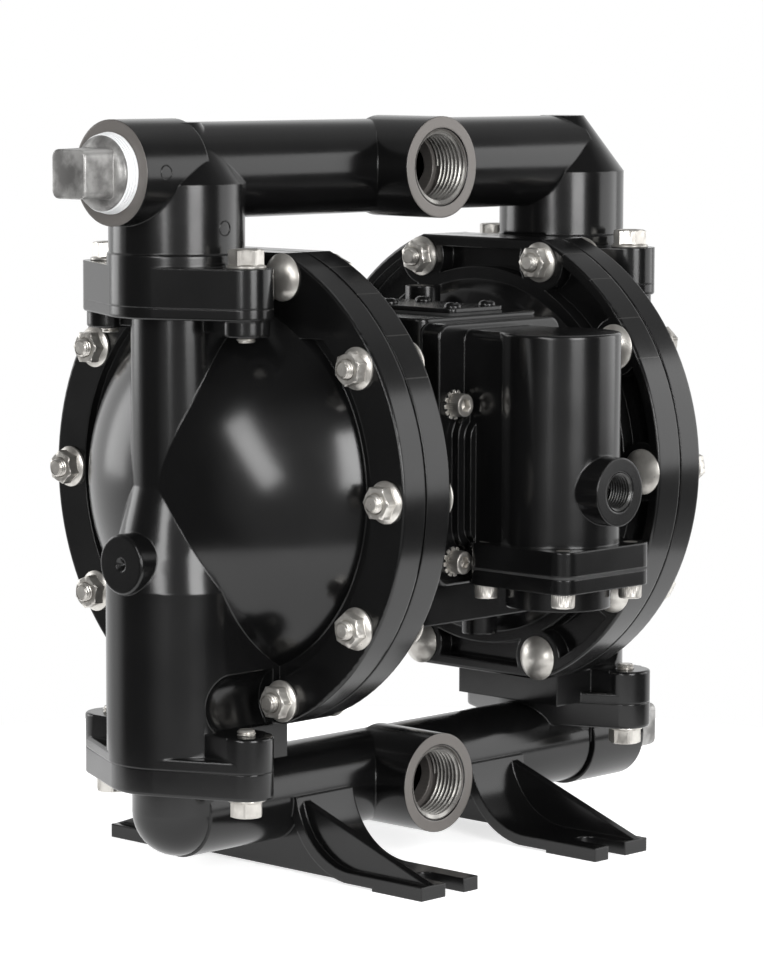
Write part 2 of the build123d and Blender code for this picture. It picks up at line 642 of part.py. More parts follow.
lower = [(0, y, axis_z + h) for y, h in bolt_places(False)]
upper = [(0, y, axis_z + h) for y, h in bolt_places(True)]
chamber_bolts = Compound(children=[Pos(*p) * round_bolt(rim_x, face_x + nut_h + bolt_proud) for p in lower]
                         + [Pos(*p) * round_bolt(face_x, rim_x - nut_h - bolt_proud) for p in upper])
chamber_nuts = Compound(children=[Pos(*p) * nut(face_x, 1) for p in lower]
                        + [Pos(*p) * nut(rim_x, -1) for p in upper])
ear_places = [(sx * column_x, sy * ear_y, 0) for sx in (-1, 1) for sy in (-1, 1)]
outlet_bolts = set_of(hex_bolt(joint_high + out_ear, 1, out_ear + ear_drop + mbolt_proud), ear_places)
inlet_bolts = set_of(hex_bolt(joint_low - in_ear, -1, in_ear + ear_rise + mbolt_proud), ear_places)
inner_screw = cap_screw(inner_screw_r, inner_screw_len)
air_cap_screws = Compound(children=[
    Pos(side * (cap_floor - screw_head_h), *at) * Rot(0, side * 90, 0) * inner_screw
    for side in (-1, 1) for at in inner_screws])

# --- rod, plates, diaphragms ---
dia_half = dia_centre / 2
plate_in_x = joint_x - dia_half - plate_in_t
rod = bar("x", rod_r, -plate_in_x, plate_in_x, (0, axis_z))
for side in (-1, 1):
    rod -= bar("x", stud_r, *sorted((side * (plate_in_x - stud_len), side * plate_in_x)), (0, axis_z))
inner_plate = turned((plate_in_x, stud_r), (plate_in_x, plate_in_r - plate_in_t / 2),
                     (plate_in_x + plate_in_t / 2, plate_in_r), (joint_x - dia_half, plate_in_r),
                     (joint_x - dia_half, stud_r))
plate_out_x = joint_x + dia_half
outer_plate = turned((plate_in_x - stud_len, 0), (plate_in_x - stud_len, stud_r), (plate_out_x, stud_r),
                     (plate_out_x, plate_out_r), (plate_out_x + plate_out_t / 3, plate_out_r),
                     (plate_out_x + plate_out_t * 0.7, plate_out_r * 0.8),
                     (plate_out_x + plate_out_t, plate_out_r * 0.4), (plate_out_x + plate_out_t, 0))
web_half = dia_web / 2
crest = (dia_roll_in + bead_in) / 2
roll = [(0, dia_roll_in), (dia_roll * 0.7, (dia_roll_in + crest) / 2), (dia_roll, crest),
        (dia_roll * 0.7, (crest + bead_in) / 2), (0, bead_in)]
diaphragm = turned((joint_x - dia_half, stud_r), (joint_x - dia_half, plate_in_r + wall / 2),
                   *[(joint_x - web_half + x, r) for x, r in roll], (joint_x - bead_half, bead_in + bead_play),
                   (joint_x - bead_half, bead_out), (joint_x + bead_half, bead_out),
                   (joint_x + bead_half, bead_in + bead_play),
                   *[(joint_x + web_half + x, r) for x, r in reversed(roll)],
                   (joint_x + dia_half, plate_in_r + wall / 2), (joint_x + dia_half, stud_r))
bush = bar("x", bush_r, body_half - seal_len - bush_len, body_half - seal_len, (0, axis_z)) - bar(
    "x", rod_r + run_play, 0, body_half, (0, axis_z))
seal = bar("x", bush_r, body_half - seal_len, body_half, (0, axis_z)) - bar(
    "x", rod_r + run_play, 0, body_half, (0, axis_z))
pilot = bar("x", pilot_r, -pilot_half, pilot_half, (0, pilot_z))
pilot_bush = bar("x", pilot_bush_r, body_half - pilot_bush_len, body_half, (0, pilot_z)) - bar(
    "x", pilot_r + run_play, 0, body_half, (0, pilot_z))
cap_gasket = plate(Circle(hub_r) - Circle(bush_r), body_half, cap_x)
cap_gasket -= bar("x", pilot_bush_r, body_half, cap_x, (0, pilot_z))
for at in inner_screws:
    cap_gasket -= bar("x", inner_screw_r + bolt_play, body_half, cap_x, at)
right_gasket = cap_gasket - bar("x", passage_r, body_half, cap_x, right_port)
left_gasket = other_side(cap_gasket) - bar("x", passage_r, -cap_x, -body_half, left_port)

# --- ball valves ---


def seat(z):
    return bar("z", seat_r, z - seat_half, z + seat_half) - bar("z", seat_bore, z - seat_half, z + seat_half)


def seat_ring(z):
    return bar("z", seat_r + ring_w, z - ring_w / 2, z + ring_w / 2) - bar(
        "z", seat_r, z - ring_w, z + ring_w)


# --- air valve: housing on its plate, spool, end cap ---
housing = softened(front(RectangleRounded(2 * plate_half, plate_high - plate_low, wall), plate_front,
                         plate_back, z=(plate_high + plate_low) / 2), Axis.Y, 0)
step_z = (step_high + step_low) / 2
for n in (0, 1):
    inset = n * step_inset
    housing += front(RectangleRounded(2 * (step_half - inset), step_high - step_low - 2 * inset, 2 * wall - inset),
                     plate_front - (n + 1) * step_t, plate_front, z=step_z)
neck = block((-neck_half, neck_half), (valve_y, plate_front), (valve_low, valve_top))
housing += fillet(neck.edges().filter_by(Axis.Y).group_by(Axis.Z)[-1], neck_round)
housing += softened(bar("z", valve_r, valve_low, valve_top, (0, valve_y)), Axis.Z, -1)
housing += column(Pos(0, valve_y) * RectangleRounded(2 * valve_sq, 2 * valve_sq, valve_sq - end_screw),
                  valve_low, valve_low + valve_flange)
housing += bar("y", inlet_r, inlet_y, valve_y, (0, axis_z))
housing -= bar("z", spool_bore, valve_low, spool_top, (0, valve_y))
housing -= bar("y", air_core_r, inlet_y, valve_y, (0, axis_z))
housing -= bar("y", air_tap_r, inlet_y, inlet_y + air_tap_l, (0, axis_z))
housing -= mouth(air_mouth_r, air_tap_r, inlet_y, axis_z)
slide_back = plate_back - port_plate_t
slide_room = (slide_half + spool_travel / 2 + slide_wall) * 2
housing -= front(Rectangle(2 * (slide_x + slide_wall), slide_room), valve_y, slide_back, z=passage_z)
housing -= front(Rectangle(2 * port_plate_x, 2 * port_plate_half), slide_back, plate_back, z=passage_z)
port_plate = front(Rectangle(2 * port_plate_x, 2 * port_plate_half), slide_back, plate_back, z=passage_z)
for slot in passages:
    port_plate -= front(slot, slide_back, plate_back, z=passage_z)
slide_face = slide_back - slide_play
slide = front(Rectangle(2 * slide_x, 2 * slide_half), valve_y, slide_face, z=spool_z)
slide -= front(Rectangle(passage_w, 2 * slide_port), slide_face - slide_depth, slide_face, z=spool_z)
for at in valve_screws:
    housing -= bar("y", screw_r + bolt_play, plate_front, plate_back, at)
relief_y = plate_front - washer_t - 1.5 * screw_head_h
relief = [bar("y", washer_r + bolt_play, relief_y, plate_front, at) for at in valve_screws]
housing -= relief
end_screws = [(sx * end_screw, valve_y + sy * end_screw) for sx in (-1, 1) for sy in (-1, 1)]
for at in end_screws:
    housing -= bar("z", screw_r, valve_low, valve_low + valve_flange, at)
gasket = front(RectangleRounded(2 * plate_half, plate_high - plate_low, wall), plate_back, body_front,
               z=(plate_high + plate_low) / 2)
for slot in passages:
    gasket -= front(slot, plate_back, body_front, z=passage_z)
for at in valve_screws:
    gasket -= bar("y", screw_r + bolt_play, plate_back, body_front, at)
end_seal_z = valve_low - gasket_t
end_gasket = column(Pos(0, valve_y) * RectangleRounded(2 * valve_sq, 2 * valve_sq, valve_sq - end_screw),
                    end_seal_z, valve_low)
end_gasket -= bar("z", spool_bore, end_seal_z, valve_low, (0, valve_y))
end_cap = column(Pos(0, valve_y) * RectangleRounded(2 * valve_sq, 2 * valve_sq, valve_sq - end_screw),
                 end_seal_z - end_flange, end_seal_z)
end_cap += bar("z", end_r - screw_head_r / 2, end_seal_z - end_flange - end_depth, end_seal_z, (0, valve_y))
end_gasket -= relief
end_cap -= relief
for at in end_screws:
    end_gasket -= bar("z", screw_r + bolt_play, end_seal_z, valve_low, at)
    end_cap -= bar("z", screw_r + bolt_play, end_seal_z - end_flange, end_seal_z, at)
    end_cap -= bar("z", screw_head_r + bolt_play, end_seal_z - end_flange - end_depth,
                   end_seal_z - end_flange, at)
spool_r = spool_bore - run_play
spool = bar("z", waist_r, spool_low, spool_low + spool_len, (0, valve_y))
slide -= bar("z", waist_r, spool_low, spool_low + spool_len, (0, valve_y))
lands = [spool_low, spool_low + spool_len - land_t]
for z in lands:
    spool += bar("z", spool_r, z, z + land_t, (0, valve_y))
seal_rings = []
for z in lands:
    low = z + (land_t - spool_seal_w) / 2
    ring = bar("z", spool_r, low, low + spool_seal_w, (0, valve_y)) - bar(
        "z", spool_r - spool_seal_t, low, low + spool_seal_w, (0, valve_y))
    spool -= ring
    seal_rings.append(ring)
valve_screw = cap_screw(screw_r, washer_t + plate_t + gasket_t + vscrew_deep - 1)
washer = bar("z", washer_r, 0, washer_t) - bar("z", screw_r, 0, washer_t)
out_front = Rot(90, 0, 0)
end_screw_piece = Rot(180, 0, 0) * cap_screw(screw_r, end_flange + gasket_t + valve_flange)

# --- top cover over the exhaust chamber ---
cover_z = body_high + gasket_t
cover_plan = Pos(0, (cover_front + cover_back) / 2) * RectangleRounded(
    2 * cover_half, cover_back - cover_front, wall / 2)
cover_gasket = column(cover_plan, body_high, cover_z)
cover_gasket -= block((-exhaust_half, exhaust_half), (cover_front + wall, body_back - wall) if (
    cover_back > body_back) else (cover_front + wall, cover_back - wall), (body_high, cover_z))
cover = column(cover_plan, cover_z, cover_z + cover_t)
for at in cover_screws:
    cover_gasket -= bar("z", cover_screw_r + bolt_play, body_high, cover_z, at)
    cover -= bar("z", cover_screw_r + bolt_play, cover_z, cover_z + cover_t, at)
cover_screw = bar("z", cover_head_r, 0, cover_head_h) + bar(
    "z", cover_screw_r, -(cover_t + gasket_t + 3 * cover_screw_r), 0)

nodes = {
    "right_fluid_cap": fluid_cap, "left_fluid_cap": other_side(fluid_cap),
    "right_air_cap": right_air_cap, "left_air_cap": left_air_cap,
    "center_body": body,
    "outlet_manifold": outlet, "inlet_manifold": inlet,
    "outlet_plug": Pos(0, 0, out_z) * other_side(plug), "inlet_plug": Pos(0, 0, in_z) * plug,
    "thread_tape": Pos(0, 0, out_z) * other_side(tape),
    "right_chamber_bolts": chamber_bolts, "left_chamber_bolts": other_side(chamber_bolts),
    "right_chamber_nuts": chamber_nuts, "left_chamber_nuts": other_side(chamber_nuts),
    "outlet_manifold_bolts": outlet_bolts, "inlet_manifold_bolts": inlet_bolts,
    "air_cap_screws": air_cap_screws,
    "air_cap_gaskets": Compound(children=[right_gasket, left_gasket]),
    "diaphragm_rod": rod,
    "rod_bushes": Compound(children=[bush, other_side(bush)]),
    "rod_seals": Compound(children=[seal, other_side(seal)]),
    "right_diaphragm": diaphragm, "left_diaphragm": other_side(diaphragm),
    "right_inner_plate": inner_plate, "left_inner_plate": other_side(inner_plate),
    "right_outer_plate": outer_plate, "left_outer_plate": other_side(outer_plate),
    "pilot_rod": pilot,
    "pilot_rod_bushes": Compound(children=[pilot_bush, other_side(pilot_bush)]),
    "air_valve_housing": housing, "valve_housing_gasket": gasket,
    "valve_housing_screws": set_of(out_front * valve_screw,
                                   [(x, plate_front - washer_t, z) for x, z in valve_screws]),
    "toothed_washers": set_of(out_front * washer, [(x, plate_front, z) for x, z in valve_screws]),
    "valve_end_gasket": end_gasket, "valve_end_cap": end_cap,
    "end_cap_screws": set_of(end_screw_piece, [(*at, end_seal_z - end_flange) for at in end_screws]),
    "valve_spool": spool, "spool_seals": Compound(children=seal_rings),
    "valve_slide": slide, "valve_port_plate": port_plate,
    "top_cover": cover, "top_cover_gasket": cover_gasket,
    "top_cover_screws": set_of(cover_screw, [(*at, cover_z + cover_t) for at in cover_screws]),
}
for end, side in (("left", -1), ("right", 1)):
    for level, z in (("inlet", joint_low), ("outlet", joint_high)):
        nodes[f"{end}_{level}_ball"] = Pos(side * column_x, 0, z + seat_half + ball_seat) * Sphere(ball_r)
        nodes[f"{end}_{level}_seat"] = Pos(side * column_x, 0) * seat(z)
nodes["seat_rings"] = Compound(children=[Pos(side * column_x, 0) * seat_ring(z)
                                         for side in (-1, 1) for z in (joint_low, joint_high)])

os.makedirs("parts", exist_ok=True)
for name, shape in nodes.items():
    export_step(shape, f"parts/{name}.step")
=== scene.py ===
import json
import math

import bmesh
import bpy
from mathutils import Matrix, Vector


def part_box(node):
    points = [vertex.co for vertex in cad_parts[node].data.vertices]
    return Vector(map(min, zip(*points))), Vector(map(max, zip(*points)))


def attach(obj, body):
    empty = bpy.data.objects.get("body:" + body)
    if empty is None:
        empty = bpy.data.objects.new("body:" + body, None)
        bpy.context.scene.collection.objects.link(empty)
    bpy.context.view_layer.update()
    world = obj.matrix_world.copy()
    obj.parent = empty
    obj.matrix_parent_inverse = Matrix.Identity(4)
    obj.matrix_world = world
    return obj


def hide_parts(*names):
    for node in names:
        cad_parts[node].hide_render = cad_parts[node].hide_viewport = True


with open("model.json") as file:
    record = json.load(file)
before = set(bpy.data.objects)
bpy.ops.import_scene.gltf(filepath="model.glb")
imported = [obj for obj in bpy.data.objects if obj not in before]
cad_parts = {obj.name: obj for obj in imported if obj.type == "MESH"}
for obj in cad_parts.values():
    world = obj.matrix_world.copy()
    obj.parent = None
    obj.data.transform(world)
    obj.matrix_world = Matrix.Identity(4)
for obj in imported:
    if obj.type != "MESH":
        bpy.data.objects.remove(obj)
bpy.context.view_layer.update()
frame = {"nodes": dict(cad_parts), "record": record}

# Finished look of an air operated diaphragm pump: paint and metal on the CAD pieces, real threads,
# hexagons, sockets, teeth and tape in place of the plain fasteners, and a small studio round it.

MM = 0.001
NODES = frame["nodes"]
MOUNTS = {m["name"]: m for m in frame["record"]["mounts"]}

# --- standard thread sizes, in metres ---
M8 = {"crest": 4.0 * MM, "root": 3.3 * MM, "pitch": 1.25 * MM}
M6 = {"crest": 3.0 * MM, "root": 2.45 * MM, "pitch": 1.0 * MM}
PIPE_PITCH = {"outlet_port": 2.209 * MM, "inlet_port": 2.209 * MM, "air_inlet": 1.411 * MM,
              "exhaust_port": 1.814 * MM}
PIPE_DEPTH = 0.8          # thread depth over pitch
THREAD_STEPS = 32         # facets in a turn of a bolt's thread
PORT_THREAD_STEPS = 72    # and of a port's
MERGE = 1e-7              # vertices this close are one
SOLID_MERGE = 1e-6        # the same, between a CAD solid's triangles and between a thread's turns

# --- forms that a turned ring can take, kept with each vertex of its outline ---
ROUND, HEX, KNURL, TOOTH = range(4)
KNURL_DEPTH = 0.12 * MM


# ---------------------------------------------------------------- mesh tools
def solids_of(node):
    """Lowest and highest corner of each separate solid in a CAD node."""
    bm = bmesh.new()
    bm.from_mesh(NODES[node].data)
    bmesh.ops.remove_doubles(bm, verts=bm.verts, dist=SOLID_MERGE)
    left = set(bm.verts)
    found = []
    while left:
        reached = [left.pop()]
        for v in reached:
            near = {e.other_vert(v) for e in v.link_edges} & left
            left -= near
            reached.extend(near)
        low = Vector([min(v.co[i] for v in reached) for i in range(3)])
        high = Vector([max(v.co[i] for v in reached) for i in range(3)])
        found.append((low, high))
    bm.free()
    return sorted(found, key=lambda b: tuple(b[0]))


def standing(point, out, spin=0.0):
    """Places a form built up along +Z: its foot at point, its top along out."""
    turn = Vector(out).to_track_quat("Z", "Y").to_matrix().to_4x4()
    return Matrix.Translation(point) @ turn @ Matrix.Rotation(spin, 4, "Z")


def turned(outline, steps=48):
    """A closed form turned about Z from its (radius, height, form) outline, lowest point first."""
    bm = bmesh.new()
    form = bm.verts.layers.int.new("form")
    points = []
    for r, z, *kind in outline:
        v = bm.verts.new((r, 0, z))
        v[form] = kind[0] if kind else ROUND
        points.append(v)
    edges = [bm.edges.new(pair) for pair in zip(points, points[1:] + points[:1])]
    bmesh.ops.spin(bm, geom=points + edges, cent=(0, 0, 0), axis=(0, 0, 1), angle=math.tau,
                   steps=steps, use_merge=True)
    bmesh.ops.remove_doubles(bm, verts=bm.verts, dist=MERGE)
    for v in bm.verts:
        angle = math.atan2(v.co.y, v.co.x)
        if v[form] == HEX:
            flat = (angle % math.radians(60)) - math.radians(30)
            v.co.xy /= math.cos(flat)
        elif v[form] == KNURL:
            ripple = KNURL_DEPTH * math.cos(angle * steps / 2)
            v.co.xy *= 1 + ripple / v.co.xy.length
    return bm


def thread(size, length, inside=False, steps=THREAD_STEPS):
    """A helical ridge along +Z, cut off flat at both ends; inside a bore it points inwards."""
    crest, root, pitch = size["crest"], size["root"], size["pitch"]
    bm = bmesh.new()
    flat = pitch / 8
    shape = [(root, 0), (crest, pitch / 2 - flat / 2), (crest, pitch / 2 + flat / 2), (root, pitch)]
    if inside:
        shape = [(crest, 0), (root, pitch / 2 - flat / 2), (root, pitch / 2 + flat / 2), (crest, pitch)]
    points = [bm.verts.new((r, 0, z)) for r, z in shape]
    edges = [bm.edges.new(pair) for pair in zip(points, points[1:])]
    turns = max(2, math.ceil(length / pitch) + 1)
    bmesh.ops.spin(bm, geom=points + edges, cent=(0, 0, 0), axis=(0, 0, 1), angle=math.tau * turns,
                   dvec=(0, 0, pitch / steps), steps=steps * turns)
    bmesh.ops.remove_doubles(bm, verts=bm.verts, dist=SOLID_MERGE)
    for cut, normal in ((0.0, (0, 0, -1)), (length, (0, 0, 1))):
        bmesh.ops.bisect_plane(bm, geom=bm.verts[:] + bm.edges[:] + bm.faces[:], dist=MERGE,
                               plane_co=(0, 0, cut), plane_no=normal, clear_outer=True)
    return bm


def taper_end(bm, root, top, slope):
    """Chamfers the last turns of an outside thread down to its root."""
    for v in bm.verts:
        r = v.co.xy.length
        limit = root + max(0.0, top - v.co.z) * slope
        if r > limit:
            v.co.xy *= limit / r
    return bm


def gather(parts):
    """Joins (bmesh, matrix) pairs into one bmesh."""
    whole = bmesh.new()
    for bm, place in parts:
        mesh = bpy.data.meshes.new("part")
        bm.to_mesh(mesh)
        mesh.transform(place)
        whole.from_mesh(mesh)
        bpy.data.meshes.remove(mesh)
    return whole


def piece(name, bm, body, material, replaced=(), smooth=40.0):
    """Makes the finished piece from its mesh and rides it on its body."""
    bmesh.ops.remove_doubles(bm, verts=bm.verts, dist=MERGE)
    bmesh.ops.recalc_face_normals(bm, faces=bm.faces)
    mesh = bpy.data.meshes.new(name)
    bm.to_mesh(mesh)
    bm.free()
    mesh.shade_smooth()
    mesh.set_sharp_from_angle(angle=math.radians(smooth))
    mesh.materials.append(material)
    obj = bpy.data.objects.new(name, mesh)
    bpy.context.scene.collection.objects.link(obj)
    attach(obj, body)
    if replaced:
        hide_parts(*replaced)
    return obj


# ---------------------------------------------------------------- shader groups
class Nodes:
    """Adds and links the nodes of one material or group."""

    def __init__(self, tree):
        self.tree = tree

    def add(self, kind, inputs=None, **settings):
        node = self.tree.nodes.new(kind)
        for key, value in settings.items():
            setattr(node, key, value)
        for key, value in (inputs or {}).items():
            self.set(node.inputs[key], value)
        return node

    def set(self, socket, value):
        if isinstance(value, bpy.types.NodeSocket):
            self.tree.links.new(value, socket)
        else:
            socket.default_value = value

    def math(self, operation, a, b=0.5, clamp=False):
        node = self.add("ShaderNodeMath", {0: a, 1: b}, operation=operation)
        node.use_clamp = clamp
        return node.outputs[0]

    def mix(self, factor, a, b):
        node = self.add("ShaderNodeMix", data_type="RGBA")
        for socket, value in zip((node.inputs[0], node.inputs[6], node.inputs[7]), (factor, a, b)):
            self.set(socket, value)
        return node.outputs[2]

    def scale(self, value, low, high):
        node = self.add("ShaderNodeMapRange", {0: value, 3: low, 4: high})
        return node.outputs[0]


def new_group(name, inputs, outputs):
    """An empty shader group with named sockets; returns its tree, its inputs and its output node."""
    tree = bpy.data.node_groups.new(name, "ShaderNodeTree")
    kinds = {"value": "NodeSocketFloat", "vector": "NodeSocketVector", "color": "NodeSocketColor"}
    for label, kind, default in inputs:
        socket = tree.interface.new_socket(label, in_out="INPUT", socket_type=kinds[kind])
        socket.default_value = default
    for label, kind in outputs:
        tree.interface.new_socket(label, in_out="OUTPUT", socket_type=kinds[kind])
    nodes = Nodes(tree)
    return nodes, nodes.add("NodeGroupInput").outputs, nodes.add("NodeGroupOutput").inputs


def cast_skin_group():
    """Cast and painted surface: slow swell of the casting, fine orange peel, soft cloudy tone."""
    n, given, out = new_group("cast_skin", [("Peel Size", "value", 900.0), ("Swell Size", "value", 60.0)],
                              [("Height", "value"), ("Cloud", "value"), ("Gloss Change", "value")])
    place = n.add("ShaderNodeTexCoord").outputs["Object"]
    peel = n.add("ShaderNodeTexNoise", {"Vector": place, "Scale": given["Peel Size"], "Detail": 3.0})
    swell = n.add("ShaderNodeTexNoise", {"Vector": place, "Scale": given["Swell Size"], "Detail": 2.0})
    cloud = n.add("ShaderNodeTexNoise", {"Vector": place, "Scale": 22.0, "Detail": 5.0, "Roughness": 0.6})
    height = n.math("ADD", n.math("MULTIPLY", peel.outputs[0], 0.35), swell.outputs[0])
    n.set(out["Height"], height)
    n.set(out["Cloud"], cloud.outputs[0])
    n.set(out["Gloss Change"], n.math("MULTIPLY", n.math("SUBTRACT", cloud.outputs[0], 0.5), 0.5))
    return n.tree


def edge_group():
    """Mask of the outside edges, from a rounded normal that leaves the flat one."""
    n, given, out = new_group("edge_wear", [("Width", "value", 0.0006), ("Break Up", "value", 260.0)],
                              [("Edge", "value")])
    soft = n.add("ShaderNodeBevel", {"Radius": given["Width"]}, samples=4)
    flat = n.add("ShaderNodeNewGeometry").outputs["Normal"]
    alike = n.add("ShaderNodeVectorMath", {0: soft.outputs[0], 1: flat}, operation="DOT_PRODUCT")
    place = n.add("ShaderNodeTexCoord").outputs["Object"]
    chips = n.add("ShaderNodeTexNoise", {"Vector": place, "Scale": given["Break Up"], "Detail": 4.0})
    away = n.math("MULTIPLY", n.math("SUBTRACT", 1.0, alike.outputs["Value"]), 6.0, clamp=True)
    n.set(out["Edge"], n.math("MULTIPLY", away, n.scale(chips.outputs[0], -0.6, 1.6), clamp=True))
    return n.tree


FACE_SLACK = 0.1 * MM      # how far under its plane a cut face still counts
FACE_REACH = 40 * MM      # widest cut face
BORE_SLACK = 0.4 * MM
TURNING_PITCH = 0.35 * MM


def machined_face_group():
    """Bare ring and bore round a port: one where the paint is cut away, with turning marks."""
    inputs = [("Face Centre", "vector", (0, 0, 0)), ("Out", "vector", (0, -1, 0)),
              ("Bore Radius", "value", 0.0175), ("Bore Depth", "value", 0.02)]
    n, given, out = new_group("machined_face", inputs, [("Bare", "value"), ("Turning", "value")])
    place = n.add("ShaderNodeTexCoord").outputs["Object"]
    local = n.add("ShaderNodeVectorMath", {0: place, 1: given["Face Centre"]},
                  operation="SUBTRACT").outputs[0]
    along = n.add("ShaderNodeVectorMath", {0: local, 1: given["Out"]},
                  operation="DOT_PRODUCT").outputs["Value"]
    shadow = n.add("ShaderNodeVectorMath", {0: given["Out"]}, operation="SCALE")
    n.set(shadow.inputs["Scale"], along)
    flat = n.add("ShaderNodeVectorMath", {0: local, 1: shadow.outputs[0]}, operation="SUBTRACT").outputs[0]
    radius = n.add("ShaderNodeVectorMath", {0: flat}, operation="LENGTH").outputs["Value"]
    on_face = n.math("GREATER_THAN", along, -FACE_SLACK)
    near = n.math("LESS_THAN", radius, FACE_REACH)
    in_bore = n.math("LESS_THAN", radius, n.math("ADD", given["Bore Radius"], BORE_SLACK))
    shallow = n.math("GREATER_THAN", along, n.math("MULTIPLY", given["Bore Depth"], -1.0))
    bare = n.math("MAXIMUM", n.math("MULTIPLY", on_face, near), n.math("MULTIPLY", in_bore, shallow))
    n.set(out["Bare"], bare)
    rings = n.math("SINE", n.math("MULTIPLY", radius, math.tau / TURNING_PITCH))
    n.set(out["Turning"], n.scale(rings, 0.0, 1.0))
    return n.tree


def metal_grain_group():
    """Fine scratches and stains on bare metal."""
    n, given, out = new_group("metal_grain", [("Size", "value", 400.0), ("Stretch", "vector", (1, 1, 1))],
                              [("Height", "value"), ("Stain", "value"), ("Gloss Change", "value")])
    place = n.add("ShaderNodeTexCoord").outputs["Object"]
    pulled = n.add("ShaderNodeVectorMath", {0: place, 1: given["Stretch"]}, operation="MULTIPLY").outputs[0]
    fine = n.add("ShaderNodeTexNoise", {"Vector": pulled, "Scale": given["Size"], "Detail": 6.0})
    stain = n.add("ShaderNodeTexNoise", {"Vector": place, "Scale": 90.0, "Detail": 4.0})
    n.set(out["Height"], fine.outputs[0])
    strong = n.add("ShaderNodeMapRange", {0: stain.outputs[0], 1: 0.36, 2: 0.64},
                   interpolation_type="SMOOTHSTEP")
    n.set(out["Stain"], strong.outputs[0])
    n.set(out["Gloss Change"], n.scale(fine.outputs[0], -0.12, 0.12))
    return n.tree


RIM_R = 105.6 * MM        # inside it there are no rims
RIM_AXIS_Z = 171.0 * MM
RIM_FROM, RIM_TO = 60.0 * MM, 82.2 * MM   # the air caps' rims, along X on both sides
SEAM_HALF = 0.3 * MM
SEAM_ANGLES = (28.0, 39.0, 51.7, 62.1)    # degrees up from the horizontal


def rim_seams_group():
    """Short mould seams across the rims of the air caps, the same on both sides."""
    n, given, out = new_group("rim_seams", [("Half Width", "value", SEAM_HALF)], [("Seam", "value")])
    place = n.add("ShaderNodeSeparateXYZ", {0: n.add("ShaderNodeTexCoord").outputs["Object"]}).outputs
    along, across = n.math("ABSOLUTE", place[0]), n.math("ABSOLUTE", place[1])
    up = n.math("SUBTRACT", place[2], RIM_AXIS_Z)
    off = n.math("SQRT", n.math("ADD", n.math("MULTIPLY", across, across), n.math("MULTIPLY", up, up)))
    on_rim = n.math("MULTIPLY", n.math("GREATER_THAN", off, RIM_R), n.math("GREATER_THAN", along, RIM_FROM))
    on_rim = n.math("MULTIPLY", on_rim, n.math("LESS_THAN", along, RIM_TO))
    seams = None
    for angle in SEAM_ANGLES:
        turn = math.radians(angle)
        side = n.math("SUBTRACT", n.math("MULTIPLY", up, math.cos(turn)),
                      n.math("MULTIPLY", across, math.sin(turn)))
        seam = n.math("LESS_THAN", n.math("ABSOLUTE", side), given["Half Width"])
        seams = seam if seams is None else n.math("MAXIMUM", seams, seam)
    n.set(out["Seam"], n.math("MULTIPLY", seams, on_rim))
    return n.tree


GROUPS = {"cast_skin": cast_skin_group(), "edge_wear": edge_group(), "machined_face": machined_face_group(),
          "metal_grain": metal_grain_group(), "rim_seams": rim_seams_group()}


def place_group(n, name, **values):
    """A shared group in a material, with this material's own values."""
    node = n.add("ShaderNodeGroup")
    node.node_tree = GROUPS[name]
    for label, value in values.items():
        n.set(node.inputs[label.replace("_", " ")], value)
    return node.outputs


def new_material(name, **plain):
    """A material's nodes and its main shader, with the plain values set on the shader."""
    material = bpy.data.materials.new(name)
    material.use_nodes = True
    n = Nodes(material.node_tree)
    shader = next(x for x in material.node_tree.nodes if x.type == "BSDF_PRINCIPLED")
    for label, value in plain.items():
        n.set(shader.inputs[label.replace("_", " ")], value)
    return material, n, shader.inputs


def surface_bump(n, height, strength, distance, rounding=0.0):
    """Normal from a height, over edges rounded by the given radius."""
    inputs = {"Strength": strength, "Distance": distance, "Height": height}
    if rounding:
        inputs["Normal"] = n.add("ShaderNodeBevel", {"Radius": rounding}, samples=6).outputs[0]
    return n.add("ShaderNodeBump", inputs).outputs[0]


# ---------------------------------------------------------------- materials
PAINT_DARK = (0.0030, 0.0030, 0.0031, 1)
PAINT_LIGHT = (0.0058, 0.0058, 0.0059, 1)
PAINT_RUBBED = (0.045, 0.044, 0.042, 1)
BARE_CUT = (0.25, 0.232, 0.218, 1)
BARE_CUT_DARK = (0.14, 0.130, 0.122, 1)


PAINT_GLOSS = 0.19        # roughness of the paint
PAINT_BUMP = 0.12
PAINT_BUMP_HIGH = 0.12 * MM
PAINT_ROUNDING = 1.1 * MM  # radius that edges under the paint look rounded to
RUB = 0.5                 # how far edges and seams are rubbed
SEAM_HIGH = 2.0           # a seam's height over the skin's own bumps
BARE_METALLIC = 0.35
BARE_ROUGHER = 0.2


